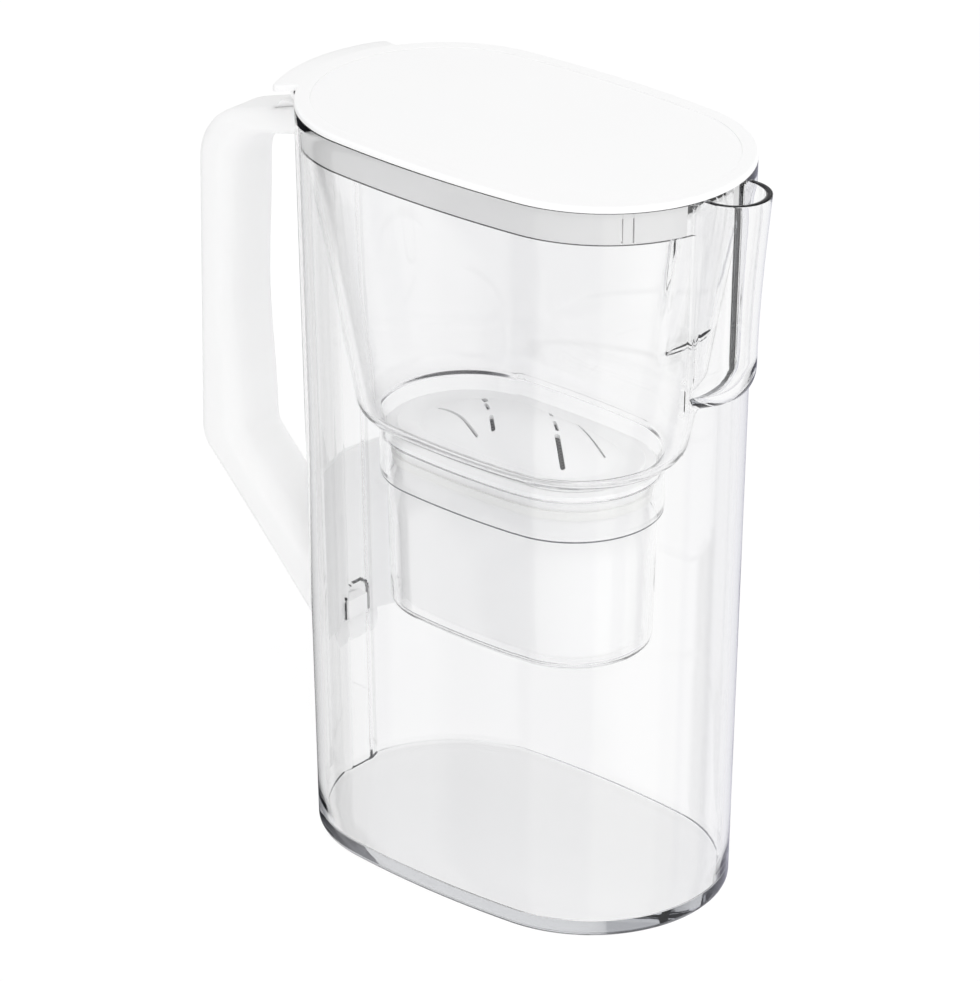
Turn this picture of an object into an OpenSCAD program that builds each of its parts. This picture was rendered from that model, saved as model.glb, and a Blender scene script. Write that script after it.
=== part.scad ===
// Water filter pitcher with flip lid: clear oval jug, lift-out hopper with a filter cartridge, hinged lid.
// X runs from the handle to the spout, Y from side to side, Z up. The origin is the centre of the jug's base.

/* [Jug] */
// Half length of the outline at the top of the lid
top_half_l = 84.4; // [82:0.2:90]
// Half width of the outline at the top of the lid
top_half_w = 51.5; // [50:0.1:54]
// How much shorter the half length is at the base
taper_l = 6; // [4:0.5:8]
// How much narrower the half width is at the base
taper_w = 2.3; // [1:0.1:3]
// Radius of the outline's ends as a share of its half width
end_share = 0.968; // [0.94:0.002:0.98]
// Height of the jug's rim
jug_h = 265.8; // [262:0.2:280]
// Wall of the jug
jug_wall = 2.7; // [2.2:0.1:3]
// Wall of the jug above the ledge that carries the rim frame
rim_wall = 1.7; // [1.4:0.1:1.8]
// Depth of the ledge below the rim
ledge_drop = 11.5; // [10.5:0.1:12.5]
// Thickness of the jug's floor
floor_t = 5; // [4:0.5:8]
// Radius of the bottom edge
foot_r = 2.5; // [1.5:0.5:4]
// Depth of the groove in the back wall
groove_d = 2.7; // [2:0.1:3]
// Width of the groove's flat bottom
groove_flat = 10; // [8:0.5:12]
// Width of the groove at the wall's surface
groove_w = 20; // [18:0.5:24]
// Height at which the groove starts to run out
groove_top = 231; // [215:1:233]

/* [Spout] */
// Width of the spout
spout_w = 25; // [22:0.5:27]
// Wall of the spout
spout_wall = 2; // [1.6:0.1:2.4]
// Reach of the spout's foot beyond the jug's half length at the base
spout_reach = 17.4; // [15:0.2:20]
// Forward flare of the spout from its foot to its lip
spout_flare = 5.2; // [3:0.2:7]
// Rise of the lip above the jug's rim
lip_rise = 1.5; // [0.5:0.1:2]
// Height of the spout's channel below the rim
spout_h = 58.8; // [50:1:65]
// Height of the rounded bottom of the spout
scoop_h = 15; // [10:1:20]

/* [Handle] */
// Width of the handle
handle_w = 25.5; // [22:0.5:28]
// Distance of the grip's upper end behind the jug's half length
grip_out = 54.1; // [50:0.1:58]
// How much further out the grip's lower end stands
grip_lean = 1.9; // [0:0.1:4]
// Depth of the grip at its upper end
grip_top_depth = 16.6; // [14:0.2:18]
// How much the grip is drawn in on the finger side half way down
grip_bow = 2.2; // [0:0.1:3]
// Depth of the grip at its elbow
grip_low_depth = 19.8; // [17:0.2:21]
// Drop of the upper outer corner below the rim
corner_drop = 27.9; // [24:0.1:32]
// Rise of the arm's top towards the jug, for each millimetre
arm_rise = 0.31; // [0.2:0.01:0.36]
// Rise of the arm's underside towards the jug, for each millimetre
arm_under_rise = 0.262; // [0.2:0.01:0.3]
// Drop of the upper inner corner below the upper outer one
corner_depth = 4; // [3:0.2:6]
// Radius of the upper outer corner
corner_r = 22; // [16:1:26]
// Radius of the upper inner corner
inner_corner_r = 17; // [12:1:18]
// Height of the elbow's outer corner
elbow_z = 115.4; // [108:0.2:120]
// Height of the elbow's inner corner above its outer one
elbow_rise = 5.8; // [4:0.2:8]
// Radius of the elbow's outer corner
elbow_r = 13; // [8:1:16]
// Radius of the elbow's inner corner
inner_elbow_r = 7; // [5:1:10]
// Fall of the strut towards the jug, for each millimetre
strut_fall = 1.03; // [0.95:0.01:1.1]
// Length of the low block on the arm, from the jug's half length
arm_block_l = 20; // [16:0.5:24]
// Width of that block
arm_block_w = 18; // [14:0.5:20]
// Gap between that block and the hinge above it
arm_block_gap = 2; // [1:0.1:3]
// Radius of the handle's long edges
handle_edge_r = 6.5; // [5:0.5:8]
// Wall of the hollow handle
handle_wall = 2.4; // [2:0.1:3]
// Width of the cover on the finger side
cover_w = 11; // [8:0.5:11.5]
// Thickness of that cover
cover_t = 1.6; // [1.2:0.1:2]
// Width of the foot plate round the back wall
foot_plate_w = 42; // [36:1:48]
// Thickness of the foot plate
foot_plate_t = 2.4; // [2:0.1:3]
// Lower edge of the foot plate
foot_plate_z = 60.5; // [57:0.5:61]
// Height of the foot plate
foot_plate_h = 64; // [40:1:70]
// Width of the latch block
latch_w = 10.4; // [8:0.2:12]
// Height of the latch block
latch_h = 6.9; // [5:0.1:9]
// Height of the latch block's lower face
latch_z = 62.7; // [62:0.1:66]
// Depth of the latch pocket in the groove's bottom
latch_pocket_d = 1.7; // [1:0.1:1.8]

/* [Lid] */
// Thickness of the lid at its edge
lid_t = 2.05; // [1.9:0.05:3]
// Inset of the top panel from the lid's edge
panel_inset = 5.4; // [4:0.2:8]
// Thickness of the top panel
panel_t = 0.8; // [0.6:0.1:1]
// Reach of the thumb wing beyond the lid's edge
wing_reach = 9.5; // [7:0.5:10]
// Half of the angle that the wing spans round the lid's end
wing_half_angle = 28.5; // [24:0.5:34]
// Drop of the wing from the lid to its tip
wing_drop = 1.8; // [1:0.2:3.2]
// Thickness of the wing
wing_t = 2.2; // [1.8:0.1:2.8]
// Radius of the wing's corners
wing_corner_r = 3; // [2:0.5:5]
// Depth of the locating rib under the lid
rib_h = 3.2; // [2:0.2:3.4]
// Thickness of the locating rib
rib_t = 1.4; // [1:0.1:2]

/* [Hinge] */
// Distance of the hinge pin behind the jug's half length at the rim
hinge_out = 6.7; // [6.3:0.1:7.2]
// Drop of the hinge pin below the jug's rim
hinge_drop = 8.3; // [8:0.1:8.6]
// Diameter of the pin
pin_d = 2.8; // [2:0.1:3]
// Outer radius of the lug and the knuckles
barrel_r = 3; // [2.6:0.1:3.1]
// Width of the lug on the rim frame
lug_w = 10; // [8:0.5:12]
// Width of each of the lid's knuckles
knuckle_w = 5.6; // [4:0.2:7]

/* [Rim frame and hopper] */
// Thickness of the rim frame's band
frame_t = 2.55; // [2.2:0.05:3]
// Gap between the rim frame's band and the lid
frame_gap = 0.3; // [0.2:0.1:1.5]
// Width of the gap in the frame at the spout
spout_gap_w = 27; // [24:0.5:27]
// Wall of the hopper funnel
hopper_wall = 2; // [1.6:0.1:2.4]
// How far the funnel's bottom reaches beyond the collar lengthwise
funnel_flare_l = 7.2; // [6.5:0.1:9]
// How far the funnel's bottom reaches beyond the collar sideways
funnel_flare_w = 5.3; // [5:0.1:7]
// Inset of the funnel's top edge from the jug's outline
funnel_inset = 3.3; // [3.2:0.1:3.8]
// Height of the funnel's upright top edge
funnel_edge_h = 5; // [3:0.5:8]
// Radius of the funnel's bottom edge
funnel_r = 6; // [4:0.5:8]
// Height of the pour pocket's ledge
pocket_z = 211; // [205:1:220]
// Distance of the pour pocket's face from the centre, at its ledge
pocket_x = 70.3; // [68:0.1:71]
// Lean of the pour pocket's face, forward for each millimetre up
pocket_lean = 0.145; // [0.12:0.005:0.15]
// Width of the pour pocket
pocket_w = 28; // [24:1:30]
// Height of the pour wall's edge
pour_wall_z = 261.5; // [258:0.5:262]

/* [Collar and well] */
// Half length of the collar
collar_half_l = 53.1; // [52.5:0.1:54]
// Half width of the collar
collar_half_w = 31.7; // [31:0.1:32.5]
// Height of the collar's lower edge
collar_z = 137.5; // [130:0.5:142]
// Height of the collar's upper edge, where the funnel starts
collar_top = 157.5; // [156:0.5:160]
// Height of the cartridge seat in the collar
seat_z = 151; // [148:0.5:152]
// Wall of the collar above the seat
collar_wall = 2; // [1.6:0.1:2.2]
// Inset of the well's bottom from the collar's outline
well_inset = 3.5; // [3:0.1:4]
// Widening of the well from its bottom to the collar
well_flare = 1.1; // [0.6:0.1:1.4]
// Wall of the well
well_wall = 1.8; // [1.4:0.1:2]
// Height of the well's lower face
well_z = 87.4; // [82:0.2:88]
// Width of the lip round the opening in the well's floor
well_lip = 11; // [9:0.5:16]

/* [Cartridge] */
// Inset of the cartridge's bottom from the well's outline
cart_inset = 3.8; // [3.4:0.1:5]
// Widening of the body up to its flange
cart_flare = 1.5; // [0.5:0.1:1.6]
// Height of the cartridge's lower face
cart_z = 90; // [89.6:0.1:96]
// Wall of the cartridge
cart_wall = 1.5; // [1.2:0.1:1.8]
// Thickness of the flange
flange_t = 2; // [1.5:0.1:2.5]
// Inset of the dome from the flange's edge
dome_inset = 3.7; // [2.5:0.1:6]
// Width of the flat brim round the dome
dome_brim = 5.7; // [4:0.1:7]
// Height of the dome
dome_h = 11; // [8:0.1:14]
// Height of the resin bed
resin_h = 25; // [15:1:35]
// Height of the seal ring
seal_h = 3; // [2:0.5:4]
// Distance of the seal ring below the seat
seal_drop = 4; // [2:0.5:6]
// Width of one slot in the outlet grille
grille_slot_w = 2.4; // [1.6:0.2:3]
// Pitch of the slots in the outlet grille
grille_pitch = 6; // [5:0.5:9]

/* [Fits] */
// Gap between the hopper and what it slides past
side_gap = 0.35; // [0.3:0.05:0.4]
// Gap under a piece that rests on its seat
seat_gap = 0.2; // [0.1:0.05:0.3]
// Radial clearance of the pin in the lid's knuckles
pin_clear = 0.06; // [0.03:0.01:0.1]
// Gap between the lug and each knuckle
knuckle_gap = 0.4; // [0.3:0.05:0.6]
// Gap round inset panels and covers
panel_gap = 0.15; // [0.1:0.05:0.3]
// Gap between the layers in the cartridge
layer_gap = 0.1; // [0.05:0.05:0.2]

/* [Hidden] */
$fn = 48;

clear_c = [0.85, 0.89, 0.91, 0.35];
white_c = [0.95, 0.95, 0.94];
satin_c = [0.90, 0.91, 0.91];
past = 1;                     // how far a cut runs past a face
end_steps = 22;               // straight pieces in each end arc of an outline
side_steps = 6;               // straight pieces in each side arc
round_steps = 3;              // straight pieces in a rounded edge

ledge_z = jug_h - ledge_drop;
lip_z = jug_h + lip_rise;
lid_z = jug_h + seat_gap;
lid_top = lid_z + lid_t;
frame_z = ledge_z + seat_gap;
frame_top = lid_z - frame_gap;
frame_inset = rim_wall + side_gap;
hopper_top = frame_z;
base_half_l = top_half_l - taper_l;
base_half_w = top_half_w - taper_w;
hinge_z = jug_h - hinge_drop;
hinge_x = -(base_half_l + taper_l * jug_h / lid_top) - hinge_out;
wing_r = end_share * top_half_w + wing_reach;
wing_centre_x = -(top_half_l - end_share * top_half_w);
dome_z = seat_z + seat_gap + flange_t;
cart_top = seat_z + seat_gap;

// An oval is [half length, half width, radius of its ends]; the sides are flat arcs tangent to the ends.
function inset(oval, d) = [oval[0] - d, oval[1] - d, oval[2] - d];
function shaped(half_l, half_w) = [half_l, half_w, end_share * half_w];
function mix(a, b, t) = a + (b - a) * t;
function jug_oval(z, d) =
    inset(shaped(mix(base_half_l, top_half_l, z / lid_top), mix(base_half_w, top_half_w, z / lid_top)), d);

function arc(x, y, r, from, to, steps) =
    [for (i = [0:steps - 1]) let (t = mix(from, to, i / steps)) [x + r * cos(t), y + r * sin(t)]];

// Points of an oval, counter-clockwise: end arc, side arc, end arc, side arc.
function outline(oval) =
    let (r = oval[2], c = oval[0] - r, b = oval[1],
        side_r = (c * c + b * b - r * r) / (2 * (b - r)), t = atan2(side_r - b, c))
    concat(arc(c, 0, r, -t, t, end_steps), arc(0, b - side_r, side_r, t, 180 - t, side_steps),
        arc(-c, 0, r, 180 - t, 180 + t, end_steps), arc(0, side_r - b, side_r, 180 + t, 360 - t, side_steps));

function at_height(points, z) = [for (p = points) [p[0], p[1], z]];

// Solid through a list of rings that all have as many points.
module skin(rings) {
    n = len(rings[0]);
    last = (len(rings) - 1) * n;
    sides = [for (k = [0:len(rings) - 2], i = [0:n - 1]) let (p = k * n, j = (i + 1) % n)
        each [[p + i, p + n + i, p + n + j], [p + i, p + n + j, p + j]]];
    polyhedron([for (r = rings) each r],
        concat([[for (i = [0:n - 1]) i]], sides, [[for (i = [n - 1:-1:0]) last + i]]));
}

// Solid through ovals at heights: levels is a list of [z, oval].
module loft(levels) {
    skin([for (l = levels) at_height(outline(l[1]), l[0])]);
}

// Levels of a rounded bottom edge of radius r that starts at height z; each gives [z, inset].
function rounded_foot(z, r) =
    [for (i = [0:round_steps]) let (t = 90 * i / round_steps) [z + r * (1 - cos(t)), r * (1 - sin(t))]];

module slab(z0, z1, x0, x1, half_y) {
    translate([x0, -half_y, z0]) cube([x1 - x0, 2 * half_y, z1 - z0]);
}

// Plate with a side outline in X and Z, centred on Y.
module side_plate(points, width) {
    translate([0, width / 2, 0]) rotate([90, 0, 0]) linear_extrude(width) polygon(points);
}

module y_rod(x, z, r, width, y = 0) {
    translate([x, y + width / 2, z]) rotate([90, 0, 0]) cylinder(r = r, h = width);
}

// Jug
module jug_solid(d = 0, top = jug_h) {
    loft(concat([for (f = rounded_foot(0, foot_r)) [f[0], jug_oval(f[0], f[1] + d)]],
        [[top, jug_oval(top, d)]]));
}

module jug_hollow() {
    low = rounded_foot(floor_t, foot_r);
    loft(concat([for (f = low) [f[0], jug_oval(f[0], f[1] + jug_wall)]],
        [[jug_h + past, jug_oval(jug_h + past, jug_wall)]]));
    loft([[ledge_z, jug_oval(ledge_z, rim_wall)], [jug_h + past, jug_oval(jug_h + past, rim_wall)]]);
}

// Trapezoid groove that follows the back wall; grow thickens it to the rib on the inside of the wall.
function groove_ring(z, depth, grow) =
    let (half = groove_w / 2, r = jug_oval(z, 0)[2], sag = r - sqrt(r * r - half * half),
        lean = (half - groove_flat / 2) / (groove_d - sag),
        flat = groove_flat / 2 + grow * tan(atan(1 / lean) / 2),
        x = -jug_oval(z, 0)[0], out = 6)
    [[x - out, -flat - lean * (depth + grow + out), z], [x + depth + grow, -flat, z],
        [x + depth + grow, flat, z], [x - out, flat + lean * (depth + grow + out), z]];

module groove(grow = 0) {
    run_out = 10;
    skin([groove_ring(-past, groove_d, grow), groove_ring(groove_top, groove_d, grow),
        groove_ring(groove_top + run_out, -grow - past / 2, grow)]);
}

// Reach of the spout at height z, from its rounded bottom to its flared lip.
spout_z = jug_h - spout_h;
spout_foot_x = base_half_l + spout_reach;
function spout_tip(z) = z < spout_z
    ? let (t = (spout_z - z) / scoop_h, wall_x = jug_oval(z, spout_wall)[0])
        wall_x + (spout_foot_x - wall_x) * sqrt(max(0, 1 - t * t))
    : spout_foot_x + spout_flare * pow((z - spout_z) / (lip_z - spout_z), 1.6);

function spout_ring(z, d) =
    let (r = spout_w / 2 - d, x = spout_tip(z) - d - r, back = pocket_x)
    concat([[back, -r, z]], [for (p = arc(x, 0, r, -90, 90, 16)) [p[0], p[1], z]], [[x, r, z], [back, r, z]]);

module spout_solid(d = 0) {
    low = [for (i = [0:4]) spout_z - scoop_h * cos(90 * i / 5)];
    high = [for (i = [0:4]) mix(spout_z, lip_z, i / 4)];
    lift = d > 0 ? past : 0;
    skin([for (z = concat(low, high)) [for (p = spout_ring(z, d)) [p[0], p[1], z + d + (z == lip_z ? lift : 0)]]]);
}

notch_half = lug_w / 2 + 2;
module hinge_notch() {
    slab(hinge_z - barrel_r - 3 * seat_gap, jug_h + past, hinge_x, -jug_oval(ledge_z, 4 * jug_wall)[0], notch_half);
}

function latch_back_x() = -jug_oval(latch_z, 0)[0] + groove_d + latch_pocket_d;
pocket_clear = 1.3;           // room beside the latch block in its pocket
module latch_pocket() {
    half = latch_w / 2 + pocket_clear;
    x = latch_back_x();
    translate([x - 8, 0, latch_z + latch_h]) rotate([0, 90, 0]) cylinder(r = half, h = 8);
    slab(latch_z - panel_gap, latch_z + latch_h, x - 8, x, half);
}

module jug_body() {
    color(clear_c) difference() {
        union() {
            jug_solid();
            spout_solid();
        }
        difference() {
            jug_hollow();
            groove(jug_wall);
        }
        difference() {
            spout_solid(spout_wall);
            jug_solid(jug_wall, spout_z - scoop_h + spout_wall + past);
        }
        slab(jug_h, lip_z + past, pocket_x - past, top_half_l + 3 * seat_gap, spout_w);
        groove();
        hinge_notch();
        latch_pocket();
    }
}

// Handle
// Side view of the handle, from the top of the arm round the grip to the foot of the strut, as X and Z.
corner_at = [-top_half_l - grip_out, jug_h - corner_drop];
elbow_at = [corner_at[0] - grip_lean, elbow_z];
arm_end = corner_at + (grip_out + groove_w / 2) * [1, arm_rise];
strut_end = elbow_at + (grip_out + grip_lean + groove_w / 2) * [1, -strut_fall];
inner_corner_at = [corner_at[0] + grip_top_depth, corner_at[1] - corner_depth];
inner_elbow_at = [elbow_at[0] + grip_low_depth, elbow_z + elbow_rise];
inner_arm_end = inner_corner_at + (grip_out - grip_top_depth + groove_w / 2) * [1, arm_under_rise];
inner_strut_end = inner_elbow_at + (grip_out + grip_lean - grip_low_depth + groove_w / 2) * [1, -1];

// Arc of radius r that rounds the corner at b on the way from a to c.
function rounded(a, b, c, r, steps) =
    let (u = (a - b) / norm(a - b), v = (c - b) / norm(c - b), open = acos(u * v),
        mid = b + (u + v) / norm(u + v) * r / sin(open / 2),
        start = b + u * r / tan(open / 2) - mid, end = b + v * r / tan(open / 2) - mid,
        way = sign(cross(start, end)))
    [for (i = [0:steps]) let (t = way * (180 - open) * i / steps)
        mid + [start[0] * cos(t) - start[1] * sin(t), start[0] * sin(t) + start[1] * cos(t)]];

// Points between two places, without the places themselves, drawn in by bow half way.
function between(a, b, count, bow = 0) =
    [for (i = [1:count]) let (t = i / (count + 1)) mix(a, b, t) - [bow * pow(sin(180 * t), 2), 0]];

function handle_line(from, top, top_r, low, low_r, to, bow) =
    let (c1 = rounded(from, top, low, top_r, 6), c2 = rounded(top, low, to, low_r, 4))
    concat([from], between(from, c1[0], 2), c1, between(c1[6], c2[0], 6, bow), c2, between(c2[4], to, 2), [to]);

outer_line = handle_line(arm_end, corner_at, corner_r, elbow_at, elbow_r, strut_end, 0);
inner_line = handle_line(inner_arm_end, inner_corner_at, inner_corner_r, inner_elbow_at, inner_elbow_r,
    inner_strut_end, grip_bow);
stations = [for (i = [0:len(outer_line) - 1]) concat(outer_line[i], inner_line[i])];
cover_from = 8;
cover_to = 16;
cover_line = [for (i = [cover_from:cover_to], t = [0.25, 0.75]) mix(stations[i], stations[i + 1], t)];

// Rounded rectangle across the handle: from and to are depths from its inner face, half is its half width.
function section(s, from, to, half, r) =
    let (inner = [s[2], 0, s[3]], across = [s[0] - s[2], 0, s[1] - s[3]], u = across / norm(across),
        top = norm(across) - to, mid = inner + u * (from + top) / 2, h = (top - from) / 2,
        rr = min(r, h - 0.3), v = [0, 1, 0])
    [for (q = [[1, 1, 0], [-1, 1, 90], [-1, -1, 180], [1, -1, 270]], i = [0:4]) let (t = q[2] + 22.5 * i)
        mid + u * (q[0] * (h - rr) + rr * cos(t)) + v * (q[1] * (half - rr) + rr * sin(t))];

module handle_sweep(d) {
    skin([for (s = stations) section(s, d, d, handle_w / 2 - d, handle_edge_r - d)]);
}

// Strip along the finger side of the grip, from one depth below its inner face to another.
function below_face(s, depth) =
    let (across = [s[0] - s[2], s[1] - s[3]]) [s[2], s[3]] + depth * across / norm(across);

module grip_strip(from, to, width) {
    side_plate(concat([for (s = cover_line) below_face(s, from)],
        [for (i = [len(cover_line) - 1:-1:0]) below_face(cover_line[i], to)]), width);
}

module foot_plate_solid(d) {
    intersection() {
        jug_solid(-d);
        slab(foot_plate_z, foot_plate_z + foot_plate_h, hinge_x, 0, foot_plate_w / 2);
    }
}

// Low block on the arm under the wing; nothing of the handle is higher than it near the hinge.
arm_top = hinge_z - barrel_r - arm_block_gap;
module arm_block() {
    back = -top_half_l - arm_block_l;
    low = corner_at[1] + (back - corner_at[0]) * arm_rise - past;
    step = arm_top - low;
    side_plate([[back, low], [back + step / 2, arm_top - step / 4], [back + step, arm_top], [-base_half_l, arm_top],
        [-base_half_l, low]], arm_block_w);
}

module handle_shell() {
    color(satin_c) difference() {
        union() {
            handle_sweep(0);
            arm_block();
        }
        handle_sweep(handle_wall);
        grip_strip(-past, handle_wall + past, cover_w + 2 * panel_gap);
        slab(arm_top, jug_h, -top_half_l - arm_block_l, 0, handle_w);
        jug_solid();
        foot_plate_solid(foot_plate_t);
    }
}

module handle_inner_cover() {
    color(satin_c) grip_strip(0, cover_t, cover_w);
}

module handle_foot_plate() {
    color(white_c) difference() {
        foot_plate_solid(foot_plate_t);
        jug_solid();
    }
}

module foot_latch() {
    color(white_c) difference() {
        slab(latch_z, latch_z + latch_h, latch_back_x() - 8, latch_back_x() - panel_gap, latch_w / 2);
        difference() {
            jug_solid(-9);
            jug_solid();
        }
    }
}

// Rim frame with the lug of the hinge
tongue_w = 3;
tongue_slot = 0.5;
tongue_h = 9;
tongue_angle = 41;
module tongue_slots() {
    c = -wing_centre_x;
    for (side = [-1, 1], edge = [-1, 1])
        translate([c, 0, frame_z - past])
            rotate([0, 0, side * tongue_angle])
                translate([top_half_w / 2, edge * (tongue_w + tongue_slot) / 2 - tongue_slot / 2, 0])
                    cube([top_half_w, tongue_slot, tongue_h]);
}

module rim_frame() {
    lug_in_x = -jug_oval(hinge_z, frame_inset + frame_t / 2)[0];
    color(white_c) difference() {
        union() {
            difference() {
                loft([for (z = [frame_z, frame_top]) [z, jug_oval(z, frame_inset)]]);
                loft([for (z = [frame_z - past, frame_top + past]) [z, jug_oval(z, frame_inset + frame_t)]]);
                slab(frame_z - past, frame_top + past, pocket_x, top_half_l, spout_gap_w / 2);
                tongue_slots();
            }
            slab(hinge_z - barrel_r, hinge_z + barrel_r, hinge_x, lug_in_x, lug_w / 2);
            y_rod(hinge_x, hinge_z, barrel_r, lug_w);
        }
        y_rod(hinge_x, hinge_z, pin_d / 2, lug_w + 2 * past);
    }
}

module hinge_pin() {
    color("silver") y_rod(hinge_x, hinge_z, pin_d / 2, lug_w + 2 * (knuckle_gap + knuckle_w));
}

// Hopper funnel
funnel_edge_z = hopper_top - funnel_edge_h;
function funnel_oval(z, d) =
    let (low = shaped(collar_half_l + funnel_flare_l, collar_half_w + funnel_flare_w),
        t = min(1, (z - collar_top) / (funnel_edge_z - collar_top)))
    inset(low * (1 - t) + jug_oval(max(z, funnel_edge_z), funnel_inset) * t, d);

module funnel_solid(d, top) {
    foot = rounded_foot(collar_top + d, funnel_r - d / 2);
    loft(concat([for (f = foot) [f[0], inset(funnel_oval(f[0], d), f[1])]],
        [for (z = [funnel_edge_z, top]) [z, funnel_oval(z, d)]]));
}

// Space in front of the pour pocket's leaning face; grow moves it inwards by the funnel's wall.
module pour_pocket(grow = 0) {
    face_top = pocket_x + pocket_lean * (jug_h - pocket_z);
    side_plate([[pocket_x - grow, pocket_z - grow], [face_top - grow, jug_h],
        [top_half_l + 20, jug_h], [top_half_l + 20, pocket_z - grow]], pocket_w + 2 * grow);
}

module hopper_funnel() {
    color(clear_c) difference() {
        union() {
            funnel_solid(0, hopper_top);
            intersection() {
                loft([for (z = [hopper_top, pour_wall_z]) [z, jug_oval(z, frame_inset + frame_t)]]);
                slab(hopper_top, pour_wall_z, pocket_x, top_half_l, pocket_w / 2 + hopper_wall);
            }
        }
        pour_pocket();
        difference() {
            funnel_solid(hopper_wall, jug_h);
            pour_pocket(hopper_wall);
        }
        loft([for (z = [collar_top - past, collar_top + 3 * hopper_wall]) [z, collar_oval(collar_wall)]]);
    }
}

// Collar and well
function collar_oval(d) = inset(shaped(collar_half_l, collar_half_w), d);
function well_oval(z, d) = inset(collar_oval(well_inset - well_flare * (z - well_z) / (collar_z - well_z)), d);

module neck_collar() {
    color(clear_c) difference() {
        loft([for (z = [collar_z, collar_top]) [z, collar_oval(0)]]);
        loft([for (z = [seat_z, collar_top + past]) [z, collar_oval(collar_wall)]]);
        loft([for (z = [collar_z - past, seat_z + past]) [z, well_oval(collar_z, well_wall)]]);
    }
}

module cartridge_well() {
    foot = rounded_foot(well_z, foot_r);
    inner_foot = rounded_foot(well_z + well_wall, foot_r - well_wall / 2);
    color(clear_c) difference() {
        loft(concat([for (f = foot) [f[0], well_oval(f[0], f[1])]], [[collar_z, well_oval(collar_z, 0)]]));
        loft(concat([for (f = inner_foot) [f[0], well_oval(f[0], f[1] + well_wall)]],
            [[collar_z + past, well_oval(collar_z, well_wall)]]));
        loft([for (z = [well_z - past, well_z + 2 * well_wall]) [z, well_oval(well_z, well_lip)]]);
    }
}

// Lid
function lid_oval(d) = inset(shaped(top_half_l, top_half_w), d);

module lid_plate() {
    edge = lid_t / 2;
    loft([for (l = [[0, edge / 3], [edge / 3, 0], [edge, 0], [lid_t - edge / 2, edge / 4], [lid_t, edge]])
        [lid_z + l[0], lid_oval(l[1])]]);
}

// The wing is a sloping ring sector round the rear end of the lid, with rounded corners.
module wing() {
    root = end_share * top_half_w;
    corner_at = wing_r - wing_corner_r;
    corner_a = wing_half_angle - asin(wing_corner_r / corner_at);
    inner = root - 4;
    plan = concat([[inner * cos(wing_half_angle), -inner * sin(wing_half_angle)]],
        arc(corner_at * cos(corner_a), -corner_at * sin(corner_a), wing_corner_r, -corner_a - 90, -corner_a, 4),
        arc(0, 0, wing_r, -corner_a, corner_a, 14),
        arc(corner_at * cos(corner_a), corner_at * sin(corner_a), wing_corner_r, corner_a, corner_a + 90, 4),
        [[inner * cos(wing_half_angle), inner * sin(wing_half_angle)]]);
    clear_r = root + 2 * seat_gap;
    tip_r = wing_r + past;
    tip_drop = wing_drop * (tip_r - root) / wing_reach;
    translate([wing_centre_x, 0, 0]) rotate([0, 0, 180]) intersection() {
        translate([0, 0, jug_h - 3 * wing_t]) linear_extrude(5 * wing_t) polygon(plan);
        rotate([0, 0, -45]) rotate_extrude(angle = 90, $fn = 120)
            polygon([[inner - past, lid_z], [clear_r, lid_z], [clear_r, lid_top - wing_t],
                [tip_r, lid_top - wing_t - tip_drop], [tip_r, lid_top - tip_drop],
                [root - past, lid_top - panel_gap], [inner - past, lid_top - panel_gap]]);
    }
}

module knuckles(r, top) {
    at = (lug_w + knuckle_w) / 2 + knuckle_gap;
    for (side = [-1, 1]) {
        y_rod(hinge_x, hinge_z, r, knuckle_w, side * at);
        translate([hinge_x - r, side * at - knuckle_w / 2, hinge_z]) cube([2 * r, knuckle_w, top - hinge_z]);
    }
}

module locating_rib() {
    outer = frame_inset + frame_t + 2 * side_gap;
    difference() {
        loft([for (z = [lid_z - rib_h, lid_z + lid_t / 2]) [z, lid_oval(outer)]]);
        loft([for (z = [lid_z - rib_h - past, lid_z + lid_t]) [z, lid_oval(outer + rib_t)]]);
        slab(lid_z - rib_h - past, lid_z + lid_t, hinge_x, -top_half_l * 0.7, top_half_w);
        slab(lid_z - rib_h - past, lid_z + lid_t, pocket_x - hopper_wall, top_half_l, pocket_w / 2 + 2 * hopper_wall);
    }
}

module lid_cover() {
    pin_bore_r = pin_d / 2 + pin_clear;
    color(white_c) difference() {
        union() {
            lid_plate();
            wing();
            knuckles(barrel_r, lid_z - past);
            locating_rib();
        }
        loft([for (z = [lid_top - panel_t - panel_gap, lid_top + past]) [z, lid_oval(panel_inset)]]);
        y_rod(hinge_x, hinge_z, pin_bore_r, 2 * top_half_w);
    }
}

module lid_top_panel() {
    z = lid_top - panel_t - panel_gap;
    color(white_c) loft([[z, lid_oval(panel_inset + panel_gap)], [z + panel_t * 0.7, lid_oval(panel_inset + panel_gap)],
        [z + panel_t, lid_oval(panel_inset + 2 * panel_gap)]]);
}

// Cartridge
function cart_oval(z, d) =
    inset(collar_oval(well_inset + cart_inset - cart_flare * (z - cart_z) / (seat_z - cart_z)), d);
flange_oval = collar_oval(collar_wall + 2 * side_gap);
grille_d = 7;                 // distance of the grille's edge from the cartridge's side
grille_z = cart_z + cart_wall;
outlet_mesh_z = grille_z + layer_gap;
mesh_t = 0.4;
resin_z = outlet_mesh_z + mesh_t + layer_gap;
separator_z = resin_z + resin_h + layer_gap;
carbon_z = separator_z + mesh_t + layer_gap;
inlet_z = cart_top - mesh_t - layer_gap;

module cartridge_shell() {
    foot = rounded_foot(cart_z, foot_r);
    color(white_c) difference() {
        union() {
            loft(concat([for (f = foot) [f[0], cart_oval(f[0], f[1])]], [[cart_top, cart_oval(cart_top, 0)]]));
            loft([for (z = [cart_top, cart_top + flange_t]) [z, flange_oval]]);
        }
        loft([for (z = [grille_z, cart_top + flange_t + past]) [z, cart_oval(z, cart_wall)]]);
        loft([for (z = [cart_z - past, grille_z + past]) [z, cart_oval(cart_z, grille_d)]]);
    }
}

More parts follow.
